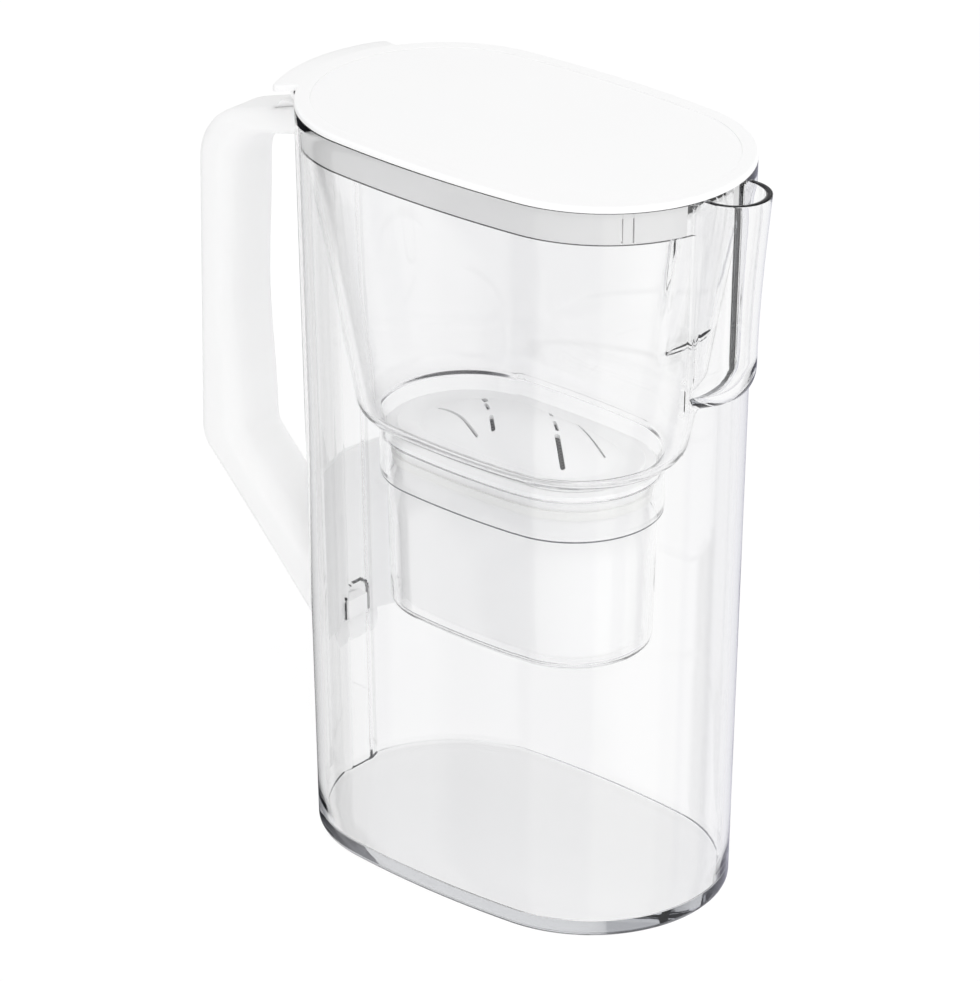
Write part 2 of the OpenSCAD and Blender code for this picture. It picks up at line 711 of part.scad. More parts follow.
module cartridge_seal() {
    top = seat_z - seal_drop;
    levels = [top - seal_h, top];
    color("dimgray") difference() {
        loft([for (z = levels) [z, well_oval(collar_z, well_wall + side_gap)]]);
        loft([for (z = [cart_z, cart_top]) [z, cart_oval(z, 0)]]);
    }
}

// A slot in the dome: [x, y] of its ends and its width, cut straight down with round ends.
dome_slots = [[-33, -3.4, -6.5, -14, 0.9], [-6.9, -6.4, -2.3, -10.6, 1.4], [11.1, 3, 15.3, -0.3, 1.2], [17.4, -2.8, 27.9, -12, 1.8]];
module dome_slot(s) {
    run = [s[2] - s[0], s[3] - s[1]];
    translate([s[0], s[1], dome_z - past]) rotate([0, 0, atan2(run[1], run[0])]) {
        translate([0, -s[4] / 2, 0]) cube([norm(run), s[4], 2 * dome_h]);
        cylinder(d = s[4], h = 2 * dome_h, $fn = 24);
        translate([norm(run), 0, 0]) cylinder(d = s[4], h = 2 * dome_h, $fn = 24);
    }
}

// The dome is a paraboloid over its oval: the outline's share cos t lies at the height's share sin^2 t.
module dome_solid(d) {
    rise = dome_h - d;
    edge = inset(flange_oval, dome_inset + dome_brim + d);
    loft(concat([[dome_z - (d > 0 ? past : 0), edge]],
        [for (t = [10:10:80]) [dome_z + rise * pow(sin(t), 2), cos(t) * edge]], [[dome_z + rise, edge / 30]]));
}

module cartridge_dome() {
    color(white_c) difference() {
        union() {
            loft([for (z = [dome_z, dome_z + cart_wall]) [z, inset(flange_oval, dome_inset)]]);
            dome_solid(0);
        }
        dome_solid(cart_wall);
        for (turn = [0, 180], s = dome_slots) rotate([0, 0, turn]) dome_slot(s);
    }
}

module mesh_plate(z, d) {
    translate([0, 0, z]) linear_extrude(mesh_t) polygon(outline(cart_oval(z, d)));
}

module inlet_mesh() {
    color("lightgray") mesh_plate(inlet_z, cart_wall + layer_gap);
}

module carbon_bed() {
    color([0.15, 0.15, 0.16]) loft([for (z = [carbon_z, inlet_z - layer_gap]) [z, cart_oval(z, cart_wall + layer_gap)]]);
}

module separator_mesh() {
    color("lightgray") mesh_plate(separator_z, cart_wall + layer_gap);
}

module resin_bed() {
    color([0.80, 0.62, 0.36]) loft([for (z = [resin_z, resin_z + resin_h]) [z, cart_oval(z, cart_wall + layer_gap)]]);
}

module outlet_mesh() {
    color("lightgray") mesh_plate(outlet_mesh_z, cart_wall + layer_gap);
}

module outlet_grille() {
    edge = cart_oval(cart_z, grille_d + layer_gap);
    count = floor((edge[0] - edge[2] / 2) / grille_pitch);
    color(white_c) difference() {
        translate([0, 0, cart_z]) linear_extrude(cart_wall) polygon(outline(edge));
        for (i = [-count:count])
            translate([i * grille_pitch - grille_slot_w / 2, -edge[1] / 2, cart_z - past])
                cube([grille_slot_w, edge[1], cart_wall + 2 * past]);
    }
}

jug_body();
handle_shell();
handle_inner_cover();
handle_foot_plate();
foot_latch();
rim_frame();
hinge_pin();
hopper_funnel();
neck_collar();
cartridge_well();
lid_cover();
lid_top_panel();
cartridge_shell();
cartridge_seal();
cartridge_dome();
inlet_mesh();
carbon_bed();
separator_mesh();
resin_bed();
outlet_mesh();
outlet_grille();
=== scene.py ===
"""Looks of a slim water filter pitcher with a flip lid.

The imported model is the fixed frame. Every clear and white moulding is a smooth surface worked out from the
same sizes as its solid, in millimetres, in the frame of the part: X from the handle to the spout, Y from side
to side, Z up, with the origin at the centre of the jug's base.
"""

import logging
import math
from dataclasses import dataclass, field
from enum import Enum
from typing import ClassVar, Sequence

import bpy
import numpy as np
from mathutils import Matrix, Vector


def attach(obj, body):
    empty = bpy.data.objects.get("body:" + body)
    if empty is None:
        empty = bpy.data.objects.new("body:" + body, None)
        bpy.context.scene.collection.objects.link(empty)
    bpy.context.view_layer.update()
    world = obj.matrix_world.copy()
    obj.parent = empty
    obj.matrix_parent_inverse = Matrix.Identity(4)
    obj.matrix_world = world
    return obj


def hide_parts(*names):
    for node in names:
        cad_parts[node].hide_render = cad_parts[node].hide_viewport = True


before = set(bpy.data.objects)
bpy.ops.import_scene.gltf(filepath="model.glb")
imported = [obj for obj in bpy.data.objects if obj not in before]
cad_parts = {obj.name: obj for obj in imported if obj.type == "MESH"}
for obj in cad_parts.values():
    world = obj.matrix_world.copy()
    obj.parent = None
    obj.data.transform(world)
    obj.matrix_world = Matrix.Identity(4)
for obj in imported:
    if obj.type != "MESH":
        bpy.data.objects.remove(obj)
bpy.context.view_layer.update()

LOG = logging.getLogger("pitcher")
MM = 0.001
END_SHARE = 0.968  # radius of an outline's ends as a share of its half width
EDGE_ANGLE = math.radians(32.0)  # sharper folds than this are drawn as edges
FLIP_Y = np.array([1.0, -1.0])
Number = float | np.ndarray
Socket = bpy.types.NodeSocket
Shade = tuple[float, float, float, float]


def mix(a: Number, b: Number, t: Number) -> Number:
    """Value a share t of the way from a to b."""
    return a + (b - a) * t


def ease(t: Number) -> Number:
    """Smooth step of t, held between 0 and 1: 3 t^2 - 2 t^3."""
    t = np.clip(t, 0.0, 1.0)
    return t * t * (3.0 - 2.0 * t)


def soft_max(a: Number, b: Number, blend: float) -> Number:
    """Larger of a and b, rounded where they cross: (a + b + sqrt((a - b)^2 + blend^2)) / 2."""
    return 0.5 * (a + b + np.sqrt((a - b) ** 2 + blend * blend))


def quarter(r: float, count: int = 7) -> list[tuple[float, float]]:
    """Quarter round of radius r: pairs of r (1 - cos t) and r (1 - sin t), with t from 0 to 90 degrees."""
    t = np.radians(np.linspace(0.0, 90.0, count))
    return list(zip(r * (1.0 - np.cos(t)), r * (1.0 - np.sin(t))))


def arc(x: float, y: float, r: float, turn: np.ndarray) -> np.ndarray:
    """Points of a circle about x, y at angles from the first axis."""
    return np.column_stack([x + r * np.cos(turn), y + r * np.sin(turn)])


# Outlines and surfaces


@dataclass(frozen=True)
class Oval:
    """Bowed oval: two end arcs of radius end_r, joined by two flat side arcs that are tangent to them."""

    half_l: float
    half_w: float
    end_r: float

    @classmethod
    def shaped(cls, half_l: float, half_w: float) -> "Oval":
        """Oval with the family's usual end radius."""
        return cls(half_l, half_w, END_SHARE * half_w)

    def inset(self, d: float) -> "Oval":
        """The same oval moved inwards by d all round."""
        return Oval(self.half_l - d, self.half_w - d, self.end_r - d)

    def toward(self, other: "Oval", t: float) -> "Oval":
        """Oval a share t of the way to another one."""
        pairs = ((self.half_l, other.half_l), (self.half_w, other.half_w), (self.end_r, other.end_r))
        return Oval(*(mix(a, b, t) for a, b in pairs))

    @property
    def centre(self) -> float:
        """Distance of the end arcs' centres from the middle."""
        return self.half_l - self.end_r

    @property
    def side_r(self) -> float:
        """Radius of the side arcs, from tangency: (c^2 + b^2 - r^2) / (2 (b - r))."""
        return (self.centre**2 + self.half_w**2 - self.end_r**2) / (2.0 * (self.half_w - self.end_r))

    @property
    def turn(self) -> float:
        """Angle from the X axis at which an end arc meets a side arc."""
        return math.atan2(self.side_r - self.half_w, self.centre)

    def end_arc(self, angles: np.ndarray, side: int = 1) -> np.ndarray:
        """Points of the front end arc (side 1) or the rear one (side -1) at angles from the X axis."""
        return arc(side * self.centre, 0.0, self.end_r, angles)

    def side_arc(self, angles: np.ndarray, side: int = 1) -> np.ndarray:
        """Points of the side arc at +Y (side 1) or -Y (side -1)."""
        return arc(0.0, side * (self.half_w - self.side_r), self.side_r, angles)

    def end_x(self, y: Number) -> Number:
        """X of the front end arc at each y: c + sqrt(r^2 - y^2)."""
        return self.centre + np.sqrt(np.maximum(self.end_r**2 - y * y, 0.0))

    def sides(self, count: int, endpoint: bool = False) -> np.ndarray:
        """Angles along the side arc at +Y; half a turn more gives those at -Y."""
        return np.linspace(self.turn, math.pi - self.turn, count, endpoint=endpoint)

    def outline(self, end_n: int = 72, side_n: int = 16) -> np.ndarray:
        """Whole outline, counter-clockwise from the lower end of the front arc."""
        ends, sides = np.linspace(-self.turn, self.turn, end_n, endpoint=False), self.sides(side_n)
        rear = [self.end_arc(ends + math.pi, -1), self.side_arc(sides + math.pi, -1)]
        return np.concatenate([self.end_arc(ends), self.side_arc(sides), *rear])


def ring(xy: np.ndarray, z: Number) -> np.ndarray:
    """Ring of points at height z, which is one value or one for each point."""
    return np.column_stack([xy, np.broadcast_to(z, len(xy))])


@dataclass
class Surface:
    """Mesh in the making: points in millimetres, quads, and flat faces with more corners."""

    points: np.ndarray
    quads: np.ndarray
    caps: list = field(default_factory=list)

    @classmethod
    def through(cls, rings: Sequence[np.ndarray], loop_rows: bool = False, loop_cols: bool = True) -> "Surface":
        """Surface P(i, j) through ring i, point j, closed by flat caps where it has ends.

        Args:
            rings: rings with equal numbers of points, in order from underside, outside, top to inside.
            loop_rows: join the last ring to the first, so the wall is a closed loop.
            loop_cols: join each ring's last point to its first.

        Returns:
            The surface, with its faces pointing outwards.
        """
        grid = np.stack(rings)
        rows, cols = grid.shape[:2]
        index = np.arange(rows * cols).reshape(rows, cols)
        if loop_cols:
            index = np.concatenate([index, index[:, :1]], axis=1)
        if loop_rows:
            index = np.concatenate([index, index[:1]], axis=0)
        corners = [index[:-1, :-1], index[:-1, 1:], index[1:, 1:], index[1:, :-1]]
        caps = []
        if not loop_rows:
            caps = [index[0, :cols][::-1].tolist(), index[-1, :cols].tolist()]
        if not loop_cols:
            caps = [index[:rows, 0].tolist(), index[:rows, -1][::-1].tolist()]
        return cls(grid.reshape(-1, 3), np.stack(corners, axis=-1).reshape(-1, 4), caps)

    def joined(self, *others: "Surface") -> "Surface":
        """This surface and others as one, with their points kept apart."""
        whole = self
        for other in others:
            n = len(whole.points)
            points, quads = [whole.points, other.points], [whole.quads, other.quads + n]
            caps = whole.caps + [[i + n for i in cap] for cap in other.caps]
            whole = Surface(np.concatenate(points), np.concatenate(quads), caps)
        return whole

    def mirrored(self) -> "Surface":
        """The surface on the other side of Y = 0, with its faces turned to point outwards again."""
        points = self.points * np.array([1.0, -1.0, 1.0])
        return Surface(points, self.quads[:, ::-1], [cap[::-1] for cap in self.caps])


def extrusion(profile: np.ndarray, y0: float, y1: float, bevel: float = 0.3) -> Surface:
    """Side outline in X and Z, counter-clockwise as seen from -Y, carried along Y with bevelled rims.

    Ring k is the outline drawn in by its bevel towards its middle; the rings run from y1 down to y0.
    """
    middle = profile.mean(axis=0)
    reach = np.abs(profile - middle).max()
    small = middle + (profile - middle) * (1.0 - bevel / reach)
    levels = [(small, y1), (profile, y1 - bevel), (profile, y0 + bevel), (small, y0)]
    return Surface.through([np.column_stack([p[:, 0], np.full(len(p), y), p[:, 1]]) for p, y in levels])


def as_object(name: str, surface: Surface) -> bpy.types.Object:
    """Puts a surface into the scene as an object at the origin."""
    mesh = bpy.data.meshes.new(name)
    mesh.from_pydata((surface.points * MM).tolist(), [], surface.quads.tolist() + surface.caps)
    obj = bpy.data.objects.new(name, mesh)
    bpy.context.scene.collection.objects.link(obj)
    return obj


def as_piece(
    name: str, surface: Surface, finish: "Finish", body: str, replaces: Sequence[str] = ()
) -> bpy.types.Object:
    """Puts a surface into the scene as a piece that rides on a body.

    Args:
        name: the piece's name.
        surface: its faces, in millimetres.
        finish: the finish that it wears.
        body: the body that it moves with.
        replaces: nodes that it stands for.

    Returns:
        The new object, at the origin.
    """
    obj = as_object(name, surface)
    mesh = obj.data
    mesh.polygons.foreach_set("use_smooth", np.ones(len(mesh.polygons), dtype=bool))
    mesh.set_sharp_from_angle(angle=EDGE_ANGLE)
    mesh.validate()
    mesh.materials.append(finish.material())
    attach(obj, body)
    if replaces:
        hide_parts(*replaces)
    LOG.info("%s: %d faces", name, len(mesh.polygons))
    return obj


def cut(obj: bpy.types.Object, cutter: Surface) -> None:
    """Cuts a surface's volume out of a piece, exactly, and leaves nothing of the cutter behind."""
    tool = as_object("cutter", cutter)
    modifier = obj.modifiers.new("cut", "BOOLEAN")
    modifier.operation, modifier.solver, modifier.object = "DIFFERENCE", "EXACT", tool
    depsgraph = bpy.context.evaluated_depsgraph_get()
    result = bpy.data.meshes.new_from_object(obj.evaluated_get(depsgraph))
    obj.modifiers.clear()
    spent = [obj.data, tool.data]
    obj.data = result
    bpy.data.objects.remove(tool)
    for mesh in spent:
        bpy.data.meshes.remove(mesh)


# Finishes


def linear(hex_colour: str) -> Shade:
    """Linear colour of an sRGB hex value such as "#F4F4F2"."""
    values = [int(hex_colour[i : i + 2], 16) / 255.0 for i in (1, 3, 5)]
    return tuple(v / 12.92 if v <= 0.04045 else ((v + 0.055) / 1.055) ** 2.4 for v in values) + (1.0,)


class Graph:
    """Node tree of one material or of the world, with short calls for adding nodes and links."""

    def __init__(self, owner: bpy.types.ID) -> None:
        """Starts an empty tree in a material or a world."""
        owner.use_nodes = True
        self.tree = owner.node_tree
        self.tree.nodes.clear()

    def add(self, kind: str, inputs: dict | None = None, **settings) -> bpy.types.Node:
        """Adds a node.

        Args:
            kind: the node's type, without "ShaderNode".
            inputs: what each input gets, by name or number: a socket is linked, other values are constants.
            **settings: properties of the node itself.

        Returns:
            The node.
        """
        node = self.tree.nodes.new("ShaderNode" + kind)
        for key, value in settings.items():
            setattr(node, key, value)
        for key, value in (inputs or {}).items():
            if isinstance(value, Socket):
                self.tree.links.new(value, node.inputs[key])
            else:
                node.inputs[key].default_value = value
        return node

    def place(self) -> Socket:
        """Place of each point in its object, in metres."""
        return self.add("TexCoord").outputs["Object"]

    def noise(self, mm: float, detail: float) -> Socket:
        """Noise of a grain size in millimetres."""
        values = {"Vector": self.place(), "Scale": 1.0 / (mm * MM), "Detail": detail}
        return self.add("TexNoise", values).outputs["Fac"]

    def bump(self, height: Socket, strength: float, mm: float, **settings) -> Socket:
        """Normal of a surface raised by height times a depth in millimetres."""
        values = {"Height": height, "Strength": strength, "Distance": mm * MM}
        return self.add("Bump", values, **settings).outputs["Normal"]

    def blend(self, share: float | Socket, a: Shade | Socket, b: Shade | Socket, kind: str = "MIX") -> Socket:
        """Colour a share of the way from a to b; each is a constant or a socket."""
        values = {"Factor": share, "A": a, "B": b}
        return self.add("Mix", values, data_type="RGBA", blend_type=kind).outputs["Result"]

    def math(self, operation: str, *values) -> Socket:
        """Result of an operation on numbers or sockets."""
        return self.add("Math", dict(enumerate(values)), operation=operation).outputs[0]

    def span(self, value: Socket, low: float, high: float, start: float = 0.0, stop: float = 1.0) -> Socket:
        """Value brought from the range start to stop into the range low to high, and held there."""
        ranges = {"From Min": start, "From Max": stop, "To Min": low, "To Max": high}
        return self.add("MapRange", {"Value": value, **ranges}).outputs["Result"]

    def body(self, **inputs) -> None:
        """Ends the tree in a principled surface; an underscore in an input's name stands for a space."""
        shader = self.add("BsdfPrincipled", {key.replace("_", " "): value for key, value in inputs.items()})
        self.add("OutputMaterial", {"Surface": shader.outputs[0]})


@dataclass(frozen=True)
class Finish:
    """A finish: its name, the record's slot that it belongs to, and how its material is built."""

    name: str
    slot: str

    def build(self, graph: Graph) -> None:
        """Adds the nodes; each kind of finish has its own."""
        raise NotImplementedError

    def material(self) -> bpy.types.Material:
        """The material, built once."""
        found = bpy.data.materials.get(self.name)
        if found is None:
            found = bpy.data.materials.new(self.name)
            self.build(Graph(found))
        return found


@dataclass(frozen=True)
class ClearMoulding(Finish):
    """Styrene-acrylonitrile, injection moulded in a polished tool: clear as glass, with faint flow waves.

    Light that runs a long way inside a wall greys, which draws the cut lip as a dark ring.
    """

    tint: str = "#FFFFFF"
    ior: float = 1.52
    roughness: float = 0.0
    depth_tint: str = "#B6B9BE"
    depth_density: float = 7.0
    wave_mm: float = 45.0
    wave_depth: float = 0.04
    shadow_tint: str = "#FEFEFE"

    def build(self, graph: Graph) -> None:
        """Refracting shell whose surface drifts a little, as a moulded wall does; lamps shine through it."""
        values = {"Normal": graph.bump(graph.noise(self.wave_mm, 1.0), self.wave_depth, 1.0)}
        values |= {"Base Color": linear(self.tint), "Roughness": self.roughness}
        values |= {"IOR": self.ior, "Transmission Weight": 1.0}
        clear = graph.add("BsdfPrincipled", values)
        path = graph.add("LightPath").outputs
        soft = graph.math("MAXIMUM", path["Is Shadow Ray"], path["Is Diffuse Ray"])
        see = graph.add("BsdfTransparent", {"Color": linear(self.shadow_tint)})
        both = graph.add("MixShader", {0: soft, 1: clear.outputs[0], 2: see.outputs[0]})
        grey = {"Color": linear(self.depth_tint), "Density": self.depth_density}
        depth = graph.add("VolumeAbsorption", grey)
        graph.add("OutputMaterial", {"Surface": both.outputs[0], "Volume": depth.outputs[0]})


@dataclass(frozen=True)
class WhiteMoulding(Finish):
    """ABS, injection moulded in a finely blasted tool: opaque white with a soft sheen."""

    colour: str = "#F6F6F5"
    roughness: float = 0.38
    grain_mm: float = 0.35
    grain_depth: float = 0.08
    glow: float = 0.0
    glow_mm: float = 3.0
    drift_mm: float = 30.0
    drift_tone: float = 0.985
    drift_gloss: float = 0.03

    def build(self, graph: Graph) -> None:
        """White body with a fine even grain and a slight drift of tone and gloss."""
        drift, colour = graph.noise(self.drift_mm, 1.0), linear(self.colour)
        graph.body(
            Base_Color=graph.blend(drift, colour, tuple(self.drift_tone * c for c in colour[:3]) + (1.0,)),
            Roughness=graph.span(drift, self.roughness - self.drift_gloss, self.roughness + self.drift_gloss),
            Normal=graph.bump(graph.noise(self.grain_mm, 2.0), self.grain_depth, 0.02),
            IOR=1.52, Subsurface_Weight=self.glow, Subsurface_Radius=(1.0, 1.0, 1.0),
            Subsurface_Scale=self.glow_mm * MM,
        )


@dataclass(frozen=True)
class Granules(Finish):
    """Loose filter medium: packed grains of one size, each with its own tone."""

    dark: str = "#141416"
    light: str = "#2C2C30"
    grain_mm: float = 0.9
    roughness: float = 0.7

    def build(self, graph: Graph) -> None:
        """Cells of a Voronoi pattern as grains: tone from a cell's random colour, form from its distance."""
        values = {"Vector": graph.place(), "Scale": 1.0 / (self.grain_mm * MM)}
        cells = graph.add("TexVoronoi", values).outputs
        graph.body(
            Base_Color=graph.blend(cells["Color"], linear(self.dark), linear(self.light)),
            Normal=graph.bump(cells["Distance"], 0.8, 0.3, invert=True),
            Roughness=self.roughness,
        )


@dataclass(frozen=True)
class MeshCloth(Finish):
    """Woven polyester mesh that holds the filter medium in: square threads with fine holes."""

    colour: str = "#DADAD6"
    between: str = "#6E6E6C"
    thread_mm: float = 0.8

    def build(self, graph: Graph) -> None:
        """Two crossed sets of thread waves, dark between the threads; the real weave is finer than this."""
        values = {"Vector": graph.place(), "Scale": 1.0 / (self.thread_mm * MM * 20.0 / math.pi)}
        sets = [graph.add("TexWave", values, bands_direction=axis).outputs["Fac"] for axis in ("X", "Y")]
        weave = graph.math("MAXIMUM", *sets)
        tone = graph.blend(weave, linear(self.between), linear(self.colour))
        graph.body(Base_Color=tone, Normal=graph.bump(weave, 0.6, 0.1), Roughness=0.75)


@dataclass(frozen=True)
class GroundSteel(Finish):
    """Stainless steel wire, ground round: bright metal with fine rings round the pin."""

    colour: str = "#C6C7C8"
    stretch: tuple[float, float, float] = (400.0, 9000.0, 400.0)

    def build(self, graph: Graph) -> None:
        """Metal with noise stretched round the pin's axis, as centreless grinding leaves."""
        along = graph.add("Mapping", {"Vector": graph.place(), "Scale": self.stretch}).outputs["Vector"]
        rings = graph.add("TexNoise", {"Vector": along, "Scale": 1.0, "Detail": 2.0}).outputs["Fac"]
        graph.body(Roughness=graph.span(rings, 0.18, 0.36), Base_Color=linear(self.colour), Metallic=1.0)


@dataclass(frozen=True)
class SoftSeal(Finish):
    """Silicone rubber, moulded: pale grey and slightly waxy."""

    colour: str = "#F0F0EE"
    grain_mm: float = 0.5

    def build(self, graph: Graph) -> None:
        """Soft grey body with a fine dull grain."""
        normal = graph.bump(graph.noise(self.grain_mm, 2.0), 0.15, 0.05)
        graph.body(Normal=normal, Base_Color=linear(self.colour), Roughness=0.55, IOR=1.41)


CLEAR = ClearMoulding("clear_san_moulding", "clear_plastic")
LID_WHITE = WhiteMoulding("white_abs_moulding", "white_plastic", "#FCFCFC")
# The rim band is white plastic. Its darker grey is painted shade, for the shade it lies in under the lid behind the
# clear wall.
BAND_WHITE_PAINTED_SHADE = WhiteMoulding("white_band_painted_shade", "white_plastic", "#DCDCDC")
SATIN = WhiteMoulding("satin_translucent_moulding", "satin_plastic", "#FAFAFA", roughness=0.5, glow=0.7)
CARTRIDGE_WHITE = WhiteMoulding("white_cartridge_moulding", "cartridge_plastic", "#FAFAFA", roughness=0.45)
# Dark grey of a thin ring under the neck collar: painted shadow, standing for the shade in the gap between collar
# and well.
PAINTED_SHADOW_GREY = WhiteMoulding("collar_painted_shadow_grey", "clear_plastic", "#6A6C70", roughness=0.3)
CARBON = Granules("activated_carbon", "carbon_granules")
RESIN = Granules("ion_exchange_resin", "resin_beads", "#8F5E22", "#D79B4B", grain_mm=0.7, roughness=0.35)
CLOTH = MeshCloth("woven_mesh", "mesh_cloth")
STEEL = GroundSteel("ground_pin_steel", "pin_steel")
SEAL = SoftSeal("silicone_seal", "seal_rubber")


def dress(node: str, finish: Finish) -> None:
    """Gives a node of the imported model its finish."""
    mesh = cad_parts[node].data
    mesh.materials.clear()
    mesh.materials.append(finish.material())
    LOG.info("%s: %s", node, finish.name)


# The jug


@dataclass(frozen=True)
class RearBand:
    """Where the outline's points lie across the back: finely over the groove and the notch, by their Y."""

    fine_to: float = 12.0
    step: float = 0.5
    notch_half: float = 7.0
    pocket_half: float = 6.5
    edge: float = 0.02
    apart: float = 0.1

    def across(self) -> np.ndarray:
        """Y of each fine point, from +Y to -Y."""
        even = np.arange(-self.fine_to, self.fine_to + self.step / 2.0, self.step)
        marks = np.array([self.notch_half, self.pocket_half])
        even = even[np.all(np.abs(np.abs(even)[:, None] - marks) > self.apart, axis=1)]
        pairs = np.concatenate([marks - self.edge, marks + self.edge])
        return np.sort(np.concatenate([even, pairs, -pairs]))[::-1]


@dataclass
class Jug:
    """The clear jug: bowed oval wall, rear groove with latch pocket, hinge notch, ledge and pouring spout."""

    top_half_l: float = 84.4
    top_half_w: float = 51.5
    taper_l: float = 6.0
    taper_w: float = 2.3
    top_z: float = 268.05
    rim_z: float = 265.8
    wall: float = 2.7
    rim_wall: float = 1.7
    ledge_z: float = 254.3
    floor_t: float = 5.0
    foot_r: float = 2.0
    inner_r: float = 1.0
    lip_r: float = 0.3
    groove_d: float = 2.7
    groove_flat: float = 10.0
    groove_w: float = 20.0
    groove_top: float = 231.0
    groove_runout: float = 10.0
    groove_blend: float = 0.25
    notch_z: float = 253.9
    notch_slope: float = 0.5
    latch_z: float = 62.7
    latch_h: float = 6.9
    latch_gap: float = 0.15
    pocket_d: float = 1.7
    pocket_edge: float = 0.3
    spout_w: float = 25.0
    spout_wall: float = 2.0
    spout_reach: float = 17.4
    spout_flare: float = 5.2
    spout_flare_power: float = 1.6
    spout_fillet: float = 1.6
    spout_draft: float = 0.03
    spout_blend: float = 0.5
    spout_sink: float = 1.5
    spout_z: float = 207.0
    scoop_h: float = 15.0
    lip_rise: float = 1.5
    lip_start: float = 252.0
    rear: RearBand = RearBand()

    def oval(self, z: float) -> Oval:
        """Outer outline at height z, without spout and groove."""
        t = 1.0 - z / self.top_z
        return Oval.shaped(self.top_half_l - self.taper_l * t, self.top_half_w - self.taper_w * t)

    def spout_tip(self, z: float) -> float:
        """X of the spout's front at height z: a quarter ellipse for the scoop, then a slow flare to the lip."""
        foot_x = self.top_half_l - self.taper_l + self.spout_reach
        if z >= self.spout_z:
            share = (z - self.spout_z) / (self.rim_z + self.lip_rise - self.spout_z)
            return foot_x + self.spout_flare * share**self.spout_flare_power
        t = (self.spout_z - z) / self.scoop_h
        wall_x = self.oval(z).half_l - self.spout_wall
        return wall_x + (foot_x - wall_x) * math.sqrt(max(0.0, 1.0 - t * t))

    def front(self, oval: Oval, half: float, tip: float) -> np.ndarray:
        """Front points from -Y to +Y: where the spout stands out, fillets, straight sides and a half circle.

        X is the larger of the end arc and the spout's own line, so a low spout sinks into the wall. Each fillet
        is a Bezier curve from the arc to the side: (1 - t)^2 p0 + 2 t (1 - t) p1 + t^2 p2.
        """
        f = self.spout_fillet
        start_x, bend_start_x = oval.end_x(np.array([half, half + f]))
        out = float(np.clip((tip - half - start_x) / f, 0.0, 1.0))
        t = np.linspace(0.0, 1.0, 9)
        bend_y = half + f * (1 - t) ** 2
        bend_x = (1 - t) ** 2 * bend_start_x + 2 * t * (1 - t) * start_x + t * t * (start_x + f)
        bend_x = mix(oval.end_x(bend_y), bend_x, out)
        side_y = half - self.spout_draft * np.arange(1, 8)
        side_x = mix(bend_x[-1], max(tip - half, bend_x[-1]), t[1:-1])
        psi = np.radians(np.linspace(-86.0, 86.0, 41))
        nose_y = 0.997 * side_y[-1] * np.sin(psi) / math.sin(psi[-1])
        y = np.concatenate([-bend_y, -side_y, nose_y, side_y[::-1], bend_y[::-1]])
        nose_x = tip - half + half * np.cos(psi)
        own = np.concatenate([bend_x, side_x, nose_x, side_x[::-1], bend_x[::-1]])
        wall = oval.end_x(y)
        sunk = tip - wall.max() < -self.spout_sink
        x = wall if sunk else soft_max(wall, own, self.spout_blend if out < 1.0 else 0.0)
        return np.column_stack([x, y])

    def grooved(self, xy: np.ndarray, z: float, shift: float) -> np.ndarray:
        """Pushes the rear points in to the groove's trapezoid line, which runs out above its top."""
        r, half, flat = self.oval(z).end_r, self.groove_w / 2.0, self.groove_flat / 2.0
        sag = r - math.sqrt(r * r - half * half)
        slope = (self.groove_d - sag) / (half - flat)
        fade = (self.groove_d + 1.0) * float(np.clip((z - self.groove_top) / self.groove_runout, 0.0, 1.0))
        depth = self.groove_d - fade - slope * np.maximum(0.0, np.abs(xy[:, 1]) - flat)
        limit = -self.oval(z).half_l + shift + depth
        near = np.abs(xy[:, 1]) < 1.2 * half
        x = np.where(near, soft_max(xy[:, 0], limit, self.groove_blend), xy[:, 0])
        return np.column_stack([x, xy[:, 1]])

    def pocketed(self, xy: np.ndarray, z: float) -> np.ndarray:
        """Sinks the latch pocket, a box under a half circle, into the groove's bottom."""
        x, y = xy.T
        centre_z = self.latch_z + self.latch_h
        away = np.hypot(y, z - centre_z) - self.rear.pocket_half
        if z < centre_z:
            away = np.maximum(np.abs(y) - self.rear.pocket_half, self.latch_z - self.latch_gap - z)
        back = -self.oval(self.latch_z).half_l + self.groove_d + self.pocket_d
        return np.column_stack([mix(x, back, ease(0.5 - away / self.pocket_edge) * (x < back)), y])

    def outline(self, z: float, inset: float, spout_inset: float, pocket: bool) -> np.ndarray:
        """Whole outline at height z, moved in by inset, and by spout_inset at the spout."""
        oval = self.oval(z).inset(inset)
        half = self.spout_w / 2.0 - spout_inset
        inner = spout_inset > self.spout_wall - 0.01
        spout_z = z - (self.spout_wall if inner else 0.0)
        tip = self.spout_tip(spout_z) - spout_inset if spout_z > self.spout_z - self.scoop_h else -math.inf
        beside = math.asin((half + self.spout_fillet + 0.15) / oval.end_r)
        flank = oval.end_arc(np.linspace(-oval.turn, -beside, 28))
        sides = oval.sides(12)
        fine = np.arcsin(self.rear.across() / oval.end_r)
        rough = np.linspace(oval.turn, math.asin((self.rear.fine_to + 0.6) / oval.end_r), 22)
        rear = oval.end_arc(math.pi - np.concatenate([rough, fine, -rough[::-1]]), -1)
        rear = self.grooved(rear, z, inset)
        if pocket:
            rear = self.pocketed(rear, z)
        around = [oval.side_arc(sides[1:]), rear, oval.side_arc(sides[1:] + math.pi, -1)]
        return np.concatenate([flank, self.front(oval, half, tip), (flank * FLIP_Y)[::-1], *around])

